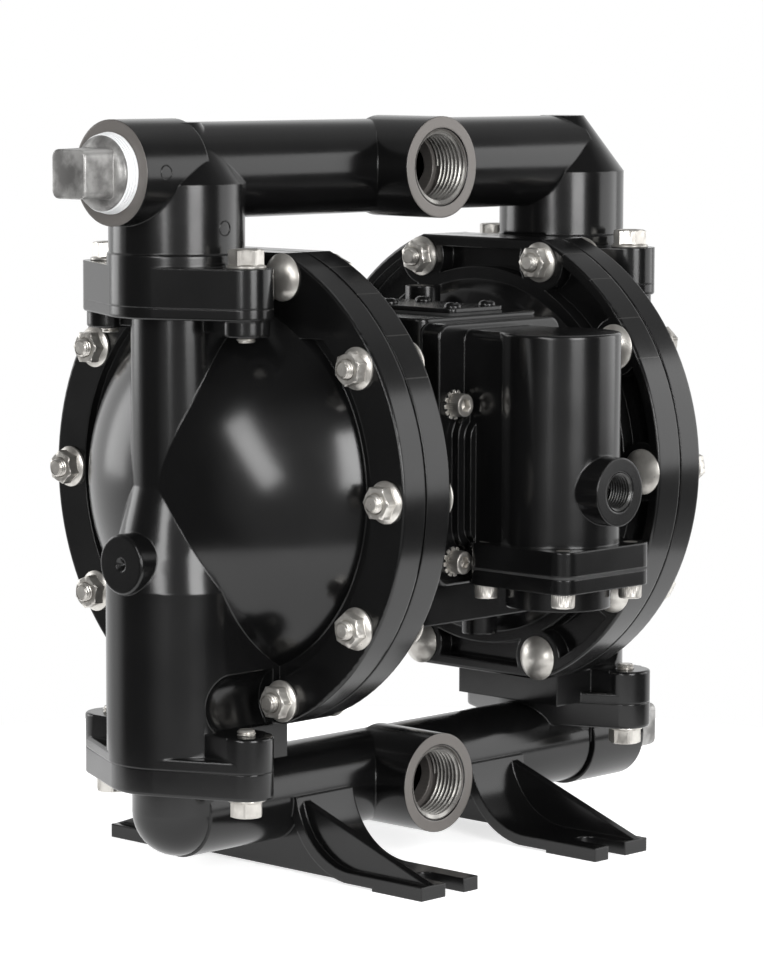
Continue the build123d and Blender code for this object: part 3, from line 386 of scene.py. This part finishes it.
def paint(name, ports=()):
    """Semi-gloss black paint on a casting, cut away on the machined faces of the given ports."""
    material, n, shader = new_material(name, Specular_IOR_Level=0.45)
    skin = place_group(n, "cast_skin", Peel_Size=1100.0, Swell_Size=70.0)
    edge = place_group(n, "edge_wear", Width=0.5 * MM, Break_Up=300.0)
    colour = n.mix(skin["Cloud"], PAINT_DARK, PAINT_LIGHT)
    colour = n.mix(n.math("MULTIPLY", edge["Edge"], RUB), colour, PAINT_RUBBED)
    gloss = n.math("ADD", PAINT_GLOSS, n.math("MULTIPLY", skin["Gloss Change"], 0.35))
    seam = place_group(n, "rim_seams")["Seam"]
    colour = n.mix(n.math("MULTIPLY", seam, RUB), colour, PAINT_RUBBED)
    height, metal = n.math("ADD", skin["Height"], n.math("MULTIPLY", seam, SEAM_HIGH)), 0.0
    bares = [place_group(n, "machined_face", Face_Centre=centre, Out=out, Bore_Radius=radius,
                         Bore_Depth=depth) for centre, out, radius, depth in ports]
    if bares:
        bare, turning = bares[0]["Bare"], bares[0]["Turning"]
        for other in bares[1:]:
            turning = n.mix(other["Bare"], turning, other["Turning"])
            bare = n.math("MAXIMUM", bare, other["Bare"])
        cut = n.mix(n.math("MULTIPLY", turning, skin["Cloud"]), BARE_CUT_DARK, BARE_CUT)
        colour = n.mix(bare, colour, cut)
        metal = n.math("MULTIPLY", bare, BARE_METALLIC)
        gloss = n.math("ADD", gloss, n.math("MULTIPLY", bare, BARE_ROUGHER))
    n.set(shader["Base Color"], colour)
    n.set(shader["Roughness"], gloss)
    n.set(shader["Metallic"], metal)
    n.set(shader["Normal"], surface_bump(n, height, PAINT_BUMP, PAINT_BUMP_HIGH,
                                           rounding=PAINT_ROUNDING))
    return material


GRAIN_HIGH = 0.1 * MM
WORN_EDGE = 0.25 * MM


def bare_metal(name, light, dark, roughness, metallic=1.0, size=420.0, bump=0.05, rounding=0.25 * MM):
    """Bare metal with stains and fine scratches."""
    material, n, shader = new_material(name, Metallic=metallic)
    grain = place_group(n, "metal_grain", Size=size)
    edge = place_group(n, "edge_wear", Width=WORN_EDGE, Break_Up=500.0)
    colour = n.mix(grain["Stain"], dark, light)
    colour = n.mix(n.math("MULTIPLY", edge["Edge"], 0.35), colour, tuple(min(1, 1.3 * c) for c in light))
    n.set(shader["Base Color"], colour)
    n.set(shader["Roughness"], n.math("ADD", roughness, grain["Gloss Change"]))
    n.set(shader["Normal"], surface_bump(n, grain["Height"], bump, GRAIN_HIGH, rounding=rounding))
    return material


def soft_material(name, light, dark, roughness, bump=0.1):
    """Rubber, tape or plain plastic."""
    material, n, shader = new_material(name)
    grain = place_group(n, "metal_grain", Size=700.0)
    n.set(shader["Base Color"], n.mix(grain["Stain"], dark, light))
    n.set(shader["Roughness"], n.math("ADD", roughness, grain["Gloss Change"]))
    n.set(shader["Normal"], surface_bump(n, grain["Height"], bump, GRAIN_HIGH))
    return material


def port_face(name):
    """Centre of a port's face, its direction, thread radius and depth, from the record."""
    mount = MOUNTS[name]
    out = Vector(mount["axis"])
    radius, length = mount["dims"]["r_mm"] * MM, mount["dims"]["length_mm"] * MM
    return Vector(mount["pos_m"]) + out * length / 2, out, radius, length


MANIFOLD_Z = {end: MOUNTS[f"{end}_port"]["pos_m"][2] for end in ("outlet", "inlet")}
PORT_FACE_Y = -37.9 * MM
TEE_X = -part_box("thread_tape")[1].x
PORT_R = MOUNTS["outlet_port"]["dims"]["r_mm"] * MM
BORE_LOOK = 24 * MM       # depth that is bare in a bore


def manifold_ports(end, side):
    """Bare faces of a manifold: the middle port and the plugged end."""
    z = MANIFOLD_Z[end]
    return [((0, PORT_FACE_Y, z), (0, -1, 0), PORT_R, BORE_LOOK),
            ((side * TEE_X, 0, z), (side, 0, 0), PORT_R, BORE_LOOK)]


PAINTS = {
    "casting": paint("black_casting_paint"),
    "outlet": paint("outlet_manifold_paint", manifold_ports("outlet", -1)),
    "inlet": paint("inlet_manifold_paint", manifold_ports("inlet", 1)),
}
MATERIALS = {
    "bright_steel": bare_metal("bright_fastener_steel", (0.66, 0.64, 0.60, 1), (0.46, 0.44, 0.41, 1), 0.33,
                               metallic=0.78),
    "plug_iron": bare_metal("grey_plug_iron", (0.40, 0.395, 0.385, 1), (0.15, 0.147, 0.143, 1), 0.40,
                            metallic=0.55, size=260.0, bump=0.5, rounding=0.35 * MM),
    "thread_iron": bare_metal("cut_thread_iron", (0.36, 0.35, 0.33, 1), (0.17, 0.163, 0.155, 1), 0.30,
                              metallic=0.6),
    "thread_dark": bare_metal("dark_thread_iron", (0.085, 0.084, 0.082, 1), (0.035, 0.035, 0.034, 1), 0.28,
                              metallic=0.5),
    "rod_steel": bare_metal("ground_steel", (0.58, 0.58, 0.58, 1), (0.44, 0.44, 0.45, 1), 0.22),
    "plate_aluminium": bare_metal("machined_aluminium", (0.66, 0.66, 0.67, 1), (0.5, 0.5, 0.52, 1), 0.34),
    "bush_bronze": bare_metal("bush_bronze", (0.60, 0.42, 0.22, 1), (0.42, 0.27, 0.13, 1), 0.35),
    "seat_steel": bare_metal("seat_steel", (0.55, 0.55, 0.56, 1), (0.42, 0.42, 0.43, 1), 0.28),
    "tape_white": soft_material("thread_tape_white", (0.88, 0.885, 0.89, 1), (0.78, 0.79, 0.80, 1), 0.42,
                                bump=0.3),
    "gasket_black": soft_material("gasket_rubber", (0.022, 0.022, 0.022, 1), (0.012, 0.012, 0.012, 1), 0.6),
    "rubber_black": soft_material("diaphragm_rubber", (0.028, 0.028, 0.028, 1), (0.014, 0.014, 0.014, 1),
                                  0.55),
    "ball_white": soft_material("valve_ball_white", (0.80, 0.79, 0.75, 1), (0.68, 0.66, 0.62, 1), 0.35),
    "spool_plastic": soft_material("spool_plastic", (0.10, 0.10, 0.11, 1), (0.05, 0.05, 0.055, 1), 0.4),
}


def dress_nodes():
    """Gives every CAD node that stays the material of its slot."""
    slots = {s["node"]: s["material_slot"] for s in frame["record"]["subparts"]}
    for name, node in NODES.items():
        material = MATERIALS.get(slots[name], PAINTS["casting"])
        if name.endswith("_manifold"):
            material = PAINTS[name.split("_")[0]]
        for socket in node.material_slots:
            socket.material = material


# ---------------------------------------------------------------- fasteners
NUT_FLANGE_R = 9.0 * MM
HEX_AF = 13.0 * MM
CHAMFER = 0.97            # top of a hexagon's chamfer cone, over its half width
CORNER_DROP = 0.75        # where the flats end, over the full drop of the cone at a corner
AXIS_R = 0.1 * MM         # closed forms stop this far from their axis
CORE_R = 0.2 * MM         # and plain cores this far


def hex_outline(low, high):
    """Outline of a hexagon with its corners turned off at the top."""
    half = HEX_AF / 2
    drop = half * (1 / math.cos(math.radians(30)) - CHAMFER) * math.tan(math.radians(30))
    return [(half, low, HEX), (half, high - drop * CORNER_DROP, HEX), (half * CHAMFER, high)]


def washer_flange(rim_r, hub_r, rim_high, high):
    """Round flange under a hexagon, sloping up to a hub inside it."""
    return turned([(M8["crest"], 0), (rim_r - 0.4 * MM, 0), (rim_r - 0.1 * MM, 0.12 * MM),
                   (rim_r, 0.4 * MM), (rim_r, rim_high), (rim_r - 0.3 * MM, rim_high + 0.3 * MM),
                   (hub_r + 0.6 * MM, high - 0.35 * MM), (hub_r, high), (M8["crest"], high)])


def hexagon(low, high, inside):
    """Hexagon with its corners turned off at the top, and what its middle holds."""
    return turned([(M8["crest"], low)] + hex_outline(low, high) + inside)


def flange_nut():
    """Hexagon nut with its own washer flange, threaded through."""
    top = 7.0 * MM
    middle = [(M8["crest"] + 0.6 * MM, top), (M8["crest"], top - 0.6 * MM)]
    return gather([(washer_flange(NUT_FLANGE_R, 6.6 * MM, 1.1 * MM, 2.4 * MM), Matrix()),
                   (hexagon(1.2 * MM, top, middle), Matrix())])


TIP_SLOPE = 1.3
TIP_CHAMFER = 0.5 * MM


def threaded_end(size, length):
    """Last stretch of a bolt, ending at its flat tip."""
    root = size["root"]
    bm = taper_end(thread(size, length), root * 0.97, length - 0.1 * MM, TIP_SLOPE)
    core = turned([(CORE_R, 0), (root, 0), (root, length - TIP_CHAMFER), (root - TIP_CHAMFER, length),
                   (CORE_R, length)], steps=24)
    return gather([(bm, Matrix()), (core, Matrix())])


def round_head():
    """Low domed head with a small rim."""
    rim, edge, dome, steps = 10.1 * MM, 0.6 * MM, 4.3 * MM, 12
    ball = (rim**2 + dome**2) / (2 * dome)
    arc = []
    for k in range(steps + 1):
        r = rim * math.cos(math.radians(90) * k / steps)
        arc.append((max(r, AXIS_R), edge + math.sqrt(ball**2 - r**2) - (ball - dome)))
    return turned([(M8["crest"], 0), (rim - 0.3 * MM, 0), (rim, 0.2 * MM)] + arc
                  + [(AXIS_R, -1 * MM), (M8["crest"], -1 * MM)])


def shank(r, length):
    """Plain round part of a bolt."""
    return turned([(CORE_R, 0), (r, 0), (r, length), (CORE_R, length)], steps=32)


ROUND_HEAD_HIGH = 5.0 * MM
THREAD_IN_NUT = 1.0 * MM  # thread modelled below the nut's seat


def chamber_fasteners(side):
    """Ten long bolts and their nuts on one side of the pump."""
    bolts = solids_of(f"{side}_chamber_bolts")
    nuts = solids_of(f"{side}_chamber_nuts")
    nut_parts, bolt_parts = [], []
    for k, (low, high) in enumerate(nuts):
        mid = (low + high) / 2
        b_low, b_high = min(bolts, key=lambda b: ((b[0] + b[1]) / 2 - mid).yz.length)
        way = 1 if mid.x > (b_low.x + b_high.x) / 2 else -1
        out = Vector((way, 0, 0))
        seat = low.x if way > 0 else high.x
        tip = b_high.x if way > 0 else b_low.x
        head = b_low.x if way > 0 else b_high.x
        head_seat = head + way * ROUND_HEAD_HIGH
        on_axis = lambda x: Vector((x, mid.y, mid.z))
        nut_parts.append((flange_nut(), standing(on_axis(seat), out, 0.7 * k)))
        end = abs(tip - seat) + THREAD_IN_NUT
        bolt_parts.append((threaded_end(M8, end), standing(on_axis(tip - way * end), out, 0.4 * k)))
        bolt_parts.append((shank(M8["crest"], abs(seat - head_seat)), standing(on_axis(head_seat), out)))
        bolt_parts.append((round_head(), standing(on_axis(head_seat), -out)))
    steel = MATERIALS["bright_steel"]
    piece(f"{side}_flange_nuts", gather(nut_parts), "casing", steel, [f"{side}_chamber_nuts"])
    piece(f"{side}_round_head_bolts", gather(bolt_parts), "casing", steel,
          [f"{side}_chamber_bolts"])


def hex_flange_head():
    """Hexagon head over a round flange, with a shallow dish in its top."""
    top = 8.0 * MM
    dish = [(HEX_AF / 2 * 0.74, top), (HEX_AF / 2 * 0.62, top - 0.5 * MM), (AXIS_R, top - 0.5 * MM),
            (AXIS_R, 1.2 * MM)]
    return gather([(washer_flange(8.4 * MM, 6.7 * MM, 0.9 * MM, 1.7 * MM), Matrix()),
                   (hexagon(1.2 * MM, top, dish), Matrix())])


HEX_HEAD_HIGH = 8.1 * MM
THREADED_REACH = 12 * MM


def manifold_bolts(end, way):
    """Four hexagon bolts through a manifold's ears."""
    parts = []
    for k, (low, high) in enumerate(solids_of(f"{end}_manifold_bolts")):
        mid = (low + high) / 2
        out = Vector((0, 0, way))
        head_end, tip = (high.z, low.z) if way > 0 else (low.z, high.z)
        seat = head_end - way * HEX_HEAD_HIGH
        at = lambda z: Vector((mid.x, mid.y, z))
        reach = THREADED_REACH
        parts.append((hex_flange_head(), standing(at(seat), out, 0.9 * k + 0.3)))
        parts.append((shank(M8["crest"], abs(seat - tip) - reach), standing(at(seat), -out)))
        parts.append((threaded_end(M8, reach), standing(at(tip + way * reach), -out, k)))
    piece(f"{end}_hex_bolts", gather(parts), "casing", MATERIALS["bright_steel"],
          [f"{end}_manifold_bolts"])


CAP_HEAD_HIGH = 6.2 * MM


def socket_head():
    """Knurled head with a hexagon socket."""
    r, top, socket, deep = 5.0 * MM, CAP_HEAD_HIGH, 2.5 * MM, 3.2 * MM
    outline = [(AXIS_R, 0), (r - 0.4 * MM, 0), (r - 0.1 * MM, 0.3 * MM, KNURL),
               (r - 0.1 * MM, top - 1.1 * MM, KNURL), (r - 0.05 * MM, top - 0.8 * MM),
               (r - 0.25 * MM, top - 0.2 * MM), (r - 0.7 * MM, top), (socket * 1.2, top),
               (socket, top - 0.3 * MM, HEX), (socket, top - deep, HEX), (AXIS_R, top - deep - 0.8 * MM)]
    return turned(outline, steps=72)


def cap_screws(name, node, out):
    """Socket head cap screws, heads along out."""
    parts = []
    axis = max(range(3), key=lambda i: abs(out[i]))
    for k, (low, high) in enumerate(solids_of(node)):
        mid = (low + high) / 2
        head_end = high[axis] if out[axis] > 0 else low[axis]
        tip = low[axis] if out[axis] > 0 else high[axis]

        def at(value):
            point = mid.copy()
            point[axis] = value
            return point

        seat = head_end - out[axis] * CAP_HEAD_HIGH
        parts.append((socket_head(), standing(at(seat), out, 0.8 * k)))
        parts.append((shank(M6["crest"], abs(seat - tip)), standing(at(seat), -Vector(out))))
    piece(name, gather(parts), "casing", MATERIALS["bright_steel"], [node])


def toothed_washer():
    """External toothed lock washer with its teeth twisted."""
    bore, web, tip, thick = 3.2 * MM, 4.9 * MM, 6.4 * MM, 0.6 * MM
    steps, teeth, tooth_share, twist = 96, 12, 0.62, 0.55 * MM
    bm = turned([(bore, 0), (web, 0), (tip, 0, TOOTH), (tip, thick, TOOTH), (web, thick), (bore, thick)],
                steps=steps)
    form = bm.verts.layers.int["form"]
    for v in bm.verts:
        if v[form] != TOOTH:
            continue
        turn = (math.atan2(v.co.y, v.co.x) / math.tau * teeth) % 1.0
        v.co.z += twist * (turn - 0.35)
        if turn > tooth_share:
            v.co.xy *= (web + 0.15 * MM) / v.co.xy.length
    return bm


def toothed_washers():
    """Lock washers under the valve housing's screws."""
    parts = []
    for k, (low, high) in enumerate(solids_of("toothed_washers")):
        mid = (low + high) / 2
        parts.append((toothed_washer(), standing(Vector((mid.x, high.y, mid.z)), (0, -1, 0), 0.5 * k)))
    piece("toothed_lock_washers", gather(parts), "casing", MATERIALS["bright_steel"],
          ["toothed_washers"], smooth=30)


def cover_screws():
    """Small black socket button screws of the top cover."""
    parts = []
    head, top, socket, core, up = 3.8 * MM, 2.4 * MM, 1.5 * MM, 2.0 * MM, (0, 0, 1)
    outline = [(AXIS_R, 0), (head, 0), (head, 0.7 * MM), (head * 0.93, 1.3 * MM), (head * 0.75, 2.0 * MM),
               (head * 0.5, top), (socket * 1.1, top), (socket, top - 0.2 * MM, HEX),
               (socket, top - 1.4 * MM, HEX), (AXIS_R, top - 1.5 * MM)]
    for k, (low, high) in enumerate(solids_of("top_cover_screws")):
        mid = (low + high) / 2
        at = lambda z: Vector((mid.x, mid.y, z))
        parts.append((turned(outline, steps=36), standing(at(high.z - top), up, k)))
        parts.append((shank(core, high.z - low.z - top), standing(at(low.z), up)))
    piece("cover_button_screws", gather(parts), "casing", PAINTS["casting"],
          ["top_cover_screws"])


# ---------------------------------------------------------------- ports and plugs
THREAD_PAST = 0.4 * MM    # the ridge runs this far past the gauge length, into the mouth's chamfer
RUN_OUT = 0.5 * MM        # from here to the mouth the ridge fades into the bore
RUN_OUT_SLOPE = 0.9


def port_threads():
    """Cut pipe threads inside the open ports."""
    for name, pitch in PIPE_PITCH.items():
        mouth, out, radius, length = port_face(name)
        size = {"crest": radius + 0.02 * MM, "root": radius - PIPE_DEPTH * pitch, "pitch": pitch}
        ridge = thread(size, length + THREAD_PAST, inside=True, steps=PORT_THREAD_STEPS)
        for v in ridge.verts:
            run_out = max(0.0, v.co.z - length + RUN_OUT) * RUN_OUT_SLOPE
            r = v.co.xy.length
            if r < radius - 0.05 * MM:
                v.co.xy *= min(radius, r + run_out) / r
        start = mouth - out * length
        cut = "thread_dark" if name == "air_inlet" else "thread_iron"
        piece(f"{name}_thread", gather([(ridge, standing(start, out))]), "casing",
              MATERIALS[cut], smooth=25)


def square_plug(node, side):
    """Cast pipe plug: square head with drafted sides and soft corners, round collar."""
    low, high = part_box(node)
    z = (low.z + high.z) / 2
    tip = high.x if side > 0 else -low.x
    collar_r, collar_to, sunk, screwed_in = 15.6 * MM, TEE_X + 8.2 * MM, 1 * MM, 11 * MM
    head = bmesh.new()
    bmesh.ops.create_cube(head, size=1.0)
    width, long, draft = 21.0 * MM, tip - collar_to + sunk, 0.965
    bmesh.ops.scale(head, vec=(width, width, long), verts=head.verts)
    for v in head.verts:
        if v.co.z > 0:
            v.co.xy *= draft
    upright = [e for e in head.edges if abs(e.verts[0].co.z - e.verts[1].co.z) > long / 2]
    bmesh.ops.bevel(head, geom=upright, offset=3.4 * MM, segments=5, affect="EDGES", profile=0.5,
                    material=-1)
    rim = [e for e in head.edges if min(v.co.z for v in e.verts) > long * 0.49]
    bmesh.ops.bevel(head, geom=rim, offset=1.0 * MM, segments=3, affect="EDGES", profile=0.5, material=-1)
    bmesh.ops.translate(head, vec=(0, 0, collar_to - sunk + long / 2), verts=head.verts)
    screwed = PORT_R - 0.3 * MM
    collar = turned([(CORE_R, TEE_X - screwed_in), (screwed, TEE_X - screwed_in), (screwed, TEE_X),
                     (collar_r, TEE_X), (collar_r, collar_to - 2.6 * MM),
                     (collar_r - 0.5 * MM, collar_to - 1.7 * MM), (collar_r - 2.6 * MM, collar_to - 0.3 * MM),
                     (collar_r - 3.6 * MM, collar_to), (CORE_R, collar_to)], steps=64)
    place = standing((0, 0, z), (side, 0, 0))
    piece(f"{node}_casting", gather([(head, place), (collar, place)]), "casing",
          MATERIALS["plug_iron"], [node])


TEE_BARREL_R = 22.1 * MM
COLUMN_R = 28.8 * MM
EJECTOR_MARKS = (         # place on the outlet manifold, axis and radius of the round surface there
    (Vector((-149.0, -22.1, 305.5)) * MM, Vector((1, 0, 0)), TEE_BARREL_R),
    (Vector((-122.2, -28.8, 282.0)) * MM, Vector((0, 0, 1)), COLUMN_R))


def ejector_marks():
    """Low rings that ejector pins leave on the front of the outlet manifold."""
    out = Vector((0, -1, 0))
    parts = []
    for point, axis, radius in EJECTOR_MARKS:
        ring = turned([(2.7 * MM, -0.4 * MM), (2.7 * MM, 0.1 * MM), (2.85 * MM, 0.22 * MM),
                       (3.15 * MM, 0.22 * MM), (3.3 * MM, 0.1 * MM), (3.3 * MM, -0.4 * MM)], steps=40)
        ring.transform(standing(point, out))
        across = axis.cross(out)
        for v in ring.verts:
            aside = (v.co - point).dot(across)
            v.co -= out * (radius - math.sqrt(radius**2 - aside**2))
        parts.append((ring, Matrix()))
    piece("ejector_marks", gather(parts), "casing", PAINTS["outlet"])


def thread_tape():
    """White tape wound over the plug's thread, its turns stepping down towards the head."""
    low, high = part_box("thread_tape")
    z, r = (low.z + high.z) / 2, (high.z - low.z) / 2
    wide = high.x - low.x
    turns, fine = 4, 6
    under, lip_high, step_down = r - 2.0 * MM, 0.28 * MM, 0.25 * MM
    outline = [(under, 0)]
    for k in range(turns * fine + 1):
        step, along = divmod(k, fine)
        lip = lip_high * abs(math.sin(math.pi * along / fine)) ** 0.5
        outline.append((r - step_down * step - lip_high + lip, wide * k / turns / fine))
    outline.append((under, wide))
    bm = turned(outline, steps=128)
    for v in bm.verts:
        angle = math.atan2(v.co.y, v.co.x)
        if v.co.xy.length > under * 1.02:
            v.co.z += 0.22 * MM * math.sin(2 * angle + 700 * v.co.xy.length)
            v.co.xy *= 1 + 0.005 * math.sin(3 * angle + 900 * v.co.z) + 0.0025 * math.sin(13 * angle)
    piece("wound_thread_tape", gather([(bm, standing((-TEE_X, 0, z), (-1, 0, 0)))]), "casing",
          MATERIALS["tape_white"], ["thread_tape"], smooth=60)


# ---------------------------------------------------------------- stage
CAMERA_AT = Vector((-1.24752, -1.19546, 0.35986))
CAMERA_AIM = Vector((0.002564, 0.0, 0.1647))
CAMERA_LENS = 146.21
CAMERA_SENSOR = 36.0
CAMERA_ROLL = math.radians(0.182)
PUMP_MIDDLE = Vector((0.0, 0.0, 0.17))
BEHIND = (0.69, 0.72, 0.0)   # from the camera to the backdrop
ROOM_DARK = 0.07          # what the paint reflects at the sides of the room
ROOM_FRONT = 0.42         # and round the camera
ROOM_FILL = 0.45          # even light from all round
BACK_FADE = (0.0, 0.4)    # dot product with BEHIND, from the dark room to the white backdrop
FRONT_FADE = (-0.6, -0.9)
BACKDROP_TOP = (0.34, 0.62)  # upward part of a direction over which the backdrop ends
BACKDROP_ABOVE = 0.35     # what is left of it there
TABLE_R = 0.36
TABLE_COLOUR = (0.8, 0.8, 0.8, 1)
SHADOW_FADE = (0.15, 0.31)   # over these distances from the middle the table turns white
SHADOW_GLOW = 0.7
BLACK, WHITE = (0, 0, 0, 1), (1, 1, 1, 1)
LAMP_OFF = 2.0            # metres from the middle of the pump to each soft box

# name, degrees round from +X, degrees up, (width, height), radiance, degrees that it leans sideways
SOFT_BOXES = (
    ("left_leaning_box", 198, 17, (0.40, 1.4), 10, 38),
    ("front_box", -105, 13, (0.80, 1.0), 10.5, 0),
    ("right_box", -38, 12, (1.7, 1.2), 2.2, 0),
    ("back_left_box", 108, 9, (0.8, 0.85), 3, 0),
    ("top_box", -10, 72, (1.0, 1.0), 0.8, 0))


def camera():
    """Camera in front of the pump and a little above it."""
    data = bpy.data.cameras.new("studio_camera")
    data.lens = CAMERA_LENS
    data.sensor_width = CAMERA_SENSOR
    data.clip_end = 20.0
    data.dof.use_dof = False
    obj = bpy.data.objects.new("studio_camera", data)
    turn = (CAMERA_AIM - CAMERA_AT).to_track_quat("-Z", "Y").to_matrix().to_4x4()
    obj.matrix_world = Matrix.Translation(CAMERA_AT) @ turn @ Matrix.Rotation(CAMERA_ROLL, 4, "Z")
    bpy.context.scene.collection.objects.link(obj)
    bpy.context.scene.camera = obj


def soft_box(name, turn, rise, size, radiance, lean):
    """A soft rectangular lamp facing the pump, whose face shines with the given radiance."""
    turn, rise = math.radians(turn), math.radians(rise)
    way = Vector((math.cos(turn) * math.cos(rise), math.sin(turn) * math.cos(rise), math.sin(rise)))
    data = bpy.data.lights.new(name, "AREA")
    data.shape = "RECTANGLE"
    data.size, data.size_y = size
    data.energy = radiance * size[0] * size[1] * math.pi
    obj = bpy.data.objects.new(name, data)
    facing = (-way).to_track_quat("-Z", "Y").to_matrix().to_4x4()
    obj.matrix_world = (Matrix.Translation(PUMP_MIDDLE + way * LAMP_OFF) @ facing
                        @ Matrix.Rotation(math.radians(lean), 4, "Z"))
    obj.visible_camera = False
    bpy.context.scene.collection.objects.link(obj)


def eased(n, value, span, low, high):
    """Smooth step from low to high as the value crosses the span."""
    return n.add("ShaderNodeMapRange", {0: value, 1: span[0], 2: span[1], 3: low, 4: high},
                 interpolation_type="SMOOTHSTEP").outputs[0]


def backdrop_world():
    """White backdrop for the camera and behind the pump's reflections, a dark room in front of it."""
    world = bpy.data.worlds.new("studio_world")
    world.use_nodes = True
    bpy.context.scene.world = world
    n = Nodes(world.node_tree)
    for node in list(world.node_tree.nodes):
        world.node_tree.nodes.remove(node)
    rays = n.add("ShaderNodeLightPath").outputs
    toward = n.add("ShaderNodeTexCoord").outputs["Generated"]
    behind = n.add("ShaderNodeVectorMath", {0: toward, 1: BEHIND}, operation="DOT_PRODUCT").outputs["Value"]
    high = n.add("ShaderNodeSeparateXYZ", {0: toward}).outputs[2]
    back = n.math("MULTIPLY", eased(n, behind, BACK_FADE, ROOM_DARK, 1.0),
                  eased(n, high, BACKDROP_TOP, 1.0, BACKDROP_ABOVE))
    front = eased(n, behind, FRONT_FADE, ROOM_DARK, ROOM_FRONT)
    mirrored = n.math("MAXIMUM", back, front)
    seen = n.math("MAXIMUM", rays["Is Glossy Ray"], rays["Is Transmission Ray"])
    level = n.add("ShaderNodeMix", {0: seen, 2: ROOM_FILL, 3: mirrored}, data_type="FLOAT").outputs[0]
    level = n.math("MAXIMUM", level, rays["Is Camera Ray"])
    glow = n.add("ShaderNodeBackground", {"Color": WHITE, "Strength": level})
    n.add("ShaderNodeOutputWorld", {"Surface": glow.outputs[0]})


def floor():
    """Pale round table that keeps the pump's soft shadow and turns white towards its rim."""
    bm = bmesh.new()
    bmesh.ops.create_circle(bm, cap_ends=True, segments=96, radius=TABLE_R)
    mesh = bpy.data.meshes.new("studio_floor")
    bm.to_mesh(mesh)
    bm.free()
    obj = bpy.data.objects.new("studio_floor", mesh)
    bpy.context.scene.collection.objects.link(obj)
    material, n, shader = new_material("studio_floor", Base_Color=TABLE_COLOUR, Roughness=0.9,
                                       Specular_IOR_Level=0.0, Emission_Strength=1.0)
    rays = n.add("ShaderNodeLightPath").outputs
    place = n.add("ShaderNodeTexCoord").outputs["Object"]
    off = n.add("ShaderNodeVectorMath", {0: place}, operation="LENGTH").outputs["Value"]
    glow = n.add("ShaderNodeMapRange", {0: off, 1: SHADOW_FADE[0], 2: SHADOW_FADE[1], 3: SHADOW_GLOW,
                                        4: 1.0}).outputs[0]
    seen = n.math("MAXIMUM", rays["Is Glossy Ray"], rays["Is Transmission Ray"])
    seen = n.math("MULTIPLY", glow, n.math("MAXIMUM", rays["Is Camera Ray"], seen))
    n.set(shader["Emission Color"], n.mix(seen, BLACK, WHITE))
    mesh.materials.append(material)


def studio():
    """Camera, backdrop, table and soft boxes."""
    camera()
    backdrop_world()
    floor()
    for box in SOFT_BOXES:
        soft_box(*box)


# ---------------------------------------------------------------- the pump
dress_nodes()
for end_side in ("left", "right"):
    chamber_fasteners(end_side)
manifold_bolts("outlet", 1)
manifold_bolts("inlet", -1)
cap_screws("plate_cap_screws", "valve_housing_screws", (0, -1, 0))
cap_screws("end_cap_cap_screws", "end_cap_screws", (0, 0, -1))
toothed_washers()
cover_screws()
port_threads()
square_plug("outlet_plug", -1)
square_plug("inlet_plug", 1)
thread_tape()
ejector_marks()
studio()

bpy.context.scene.view_settings.view_transform = "Standard"
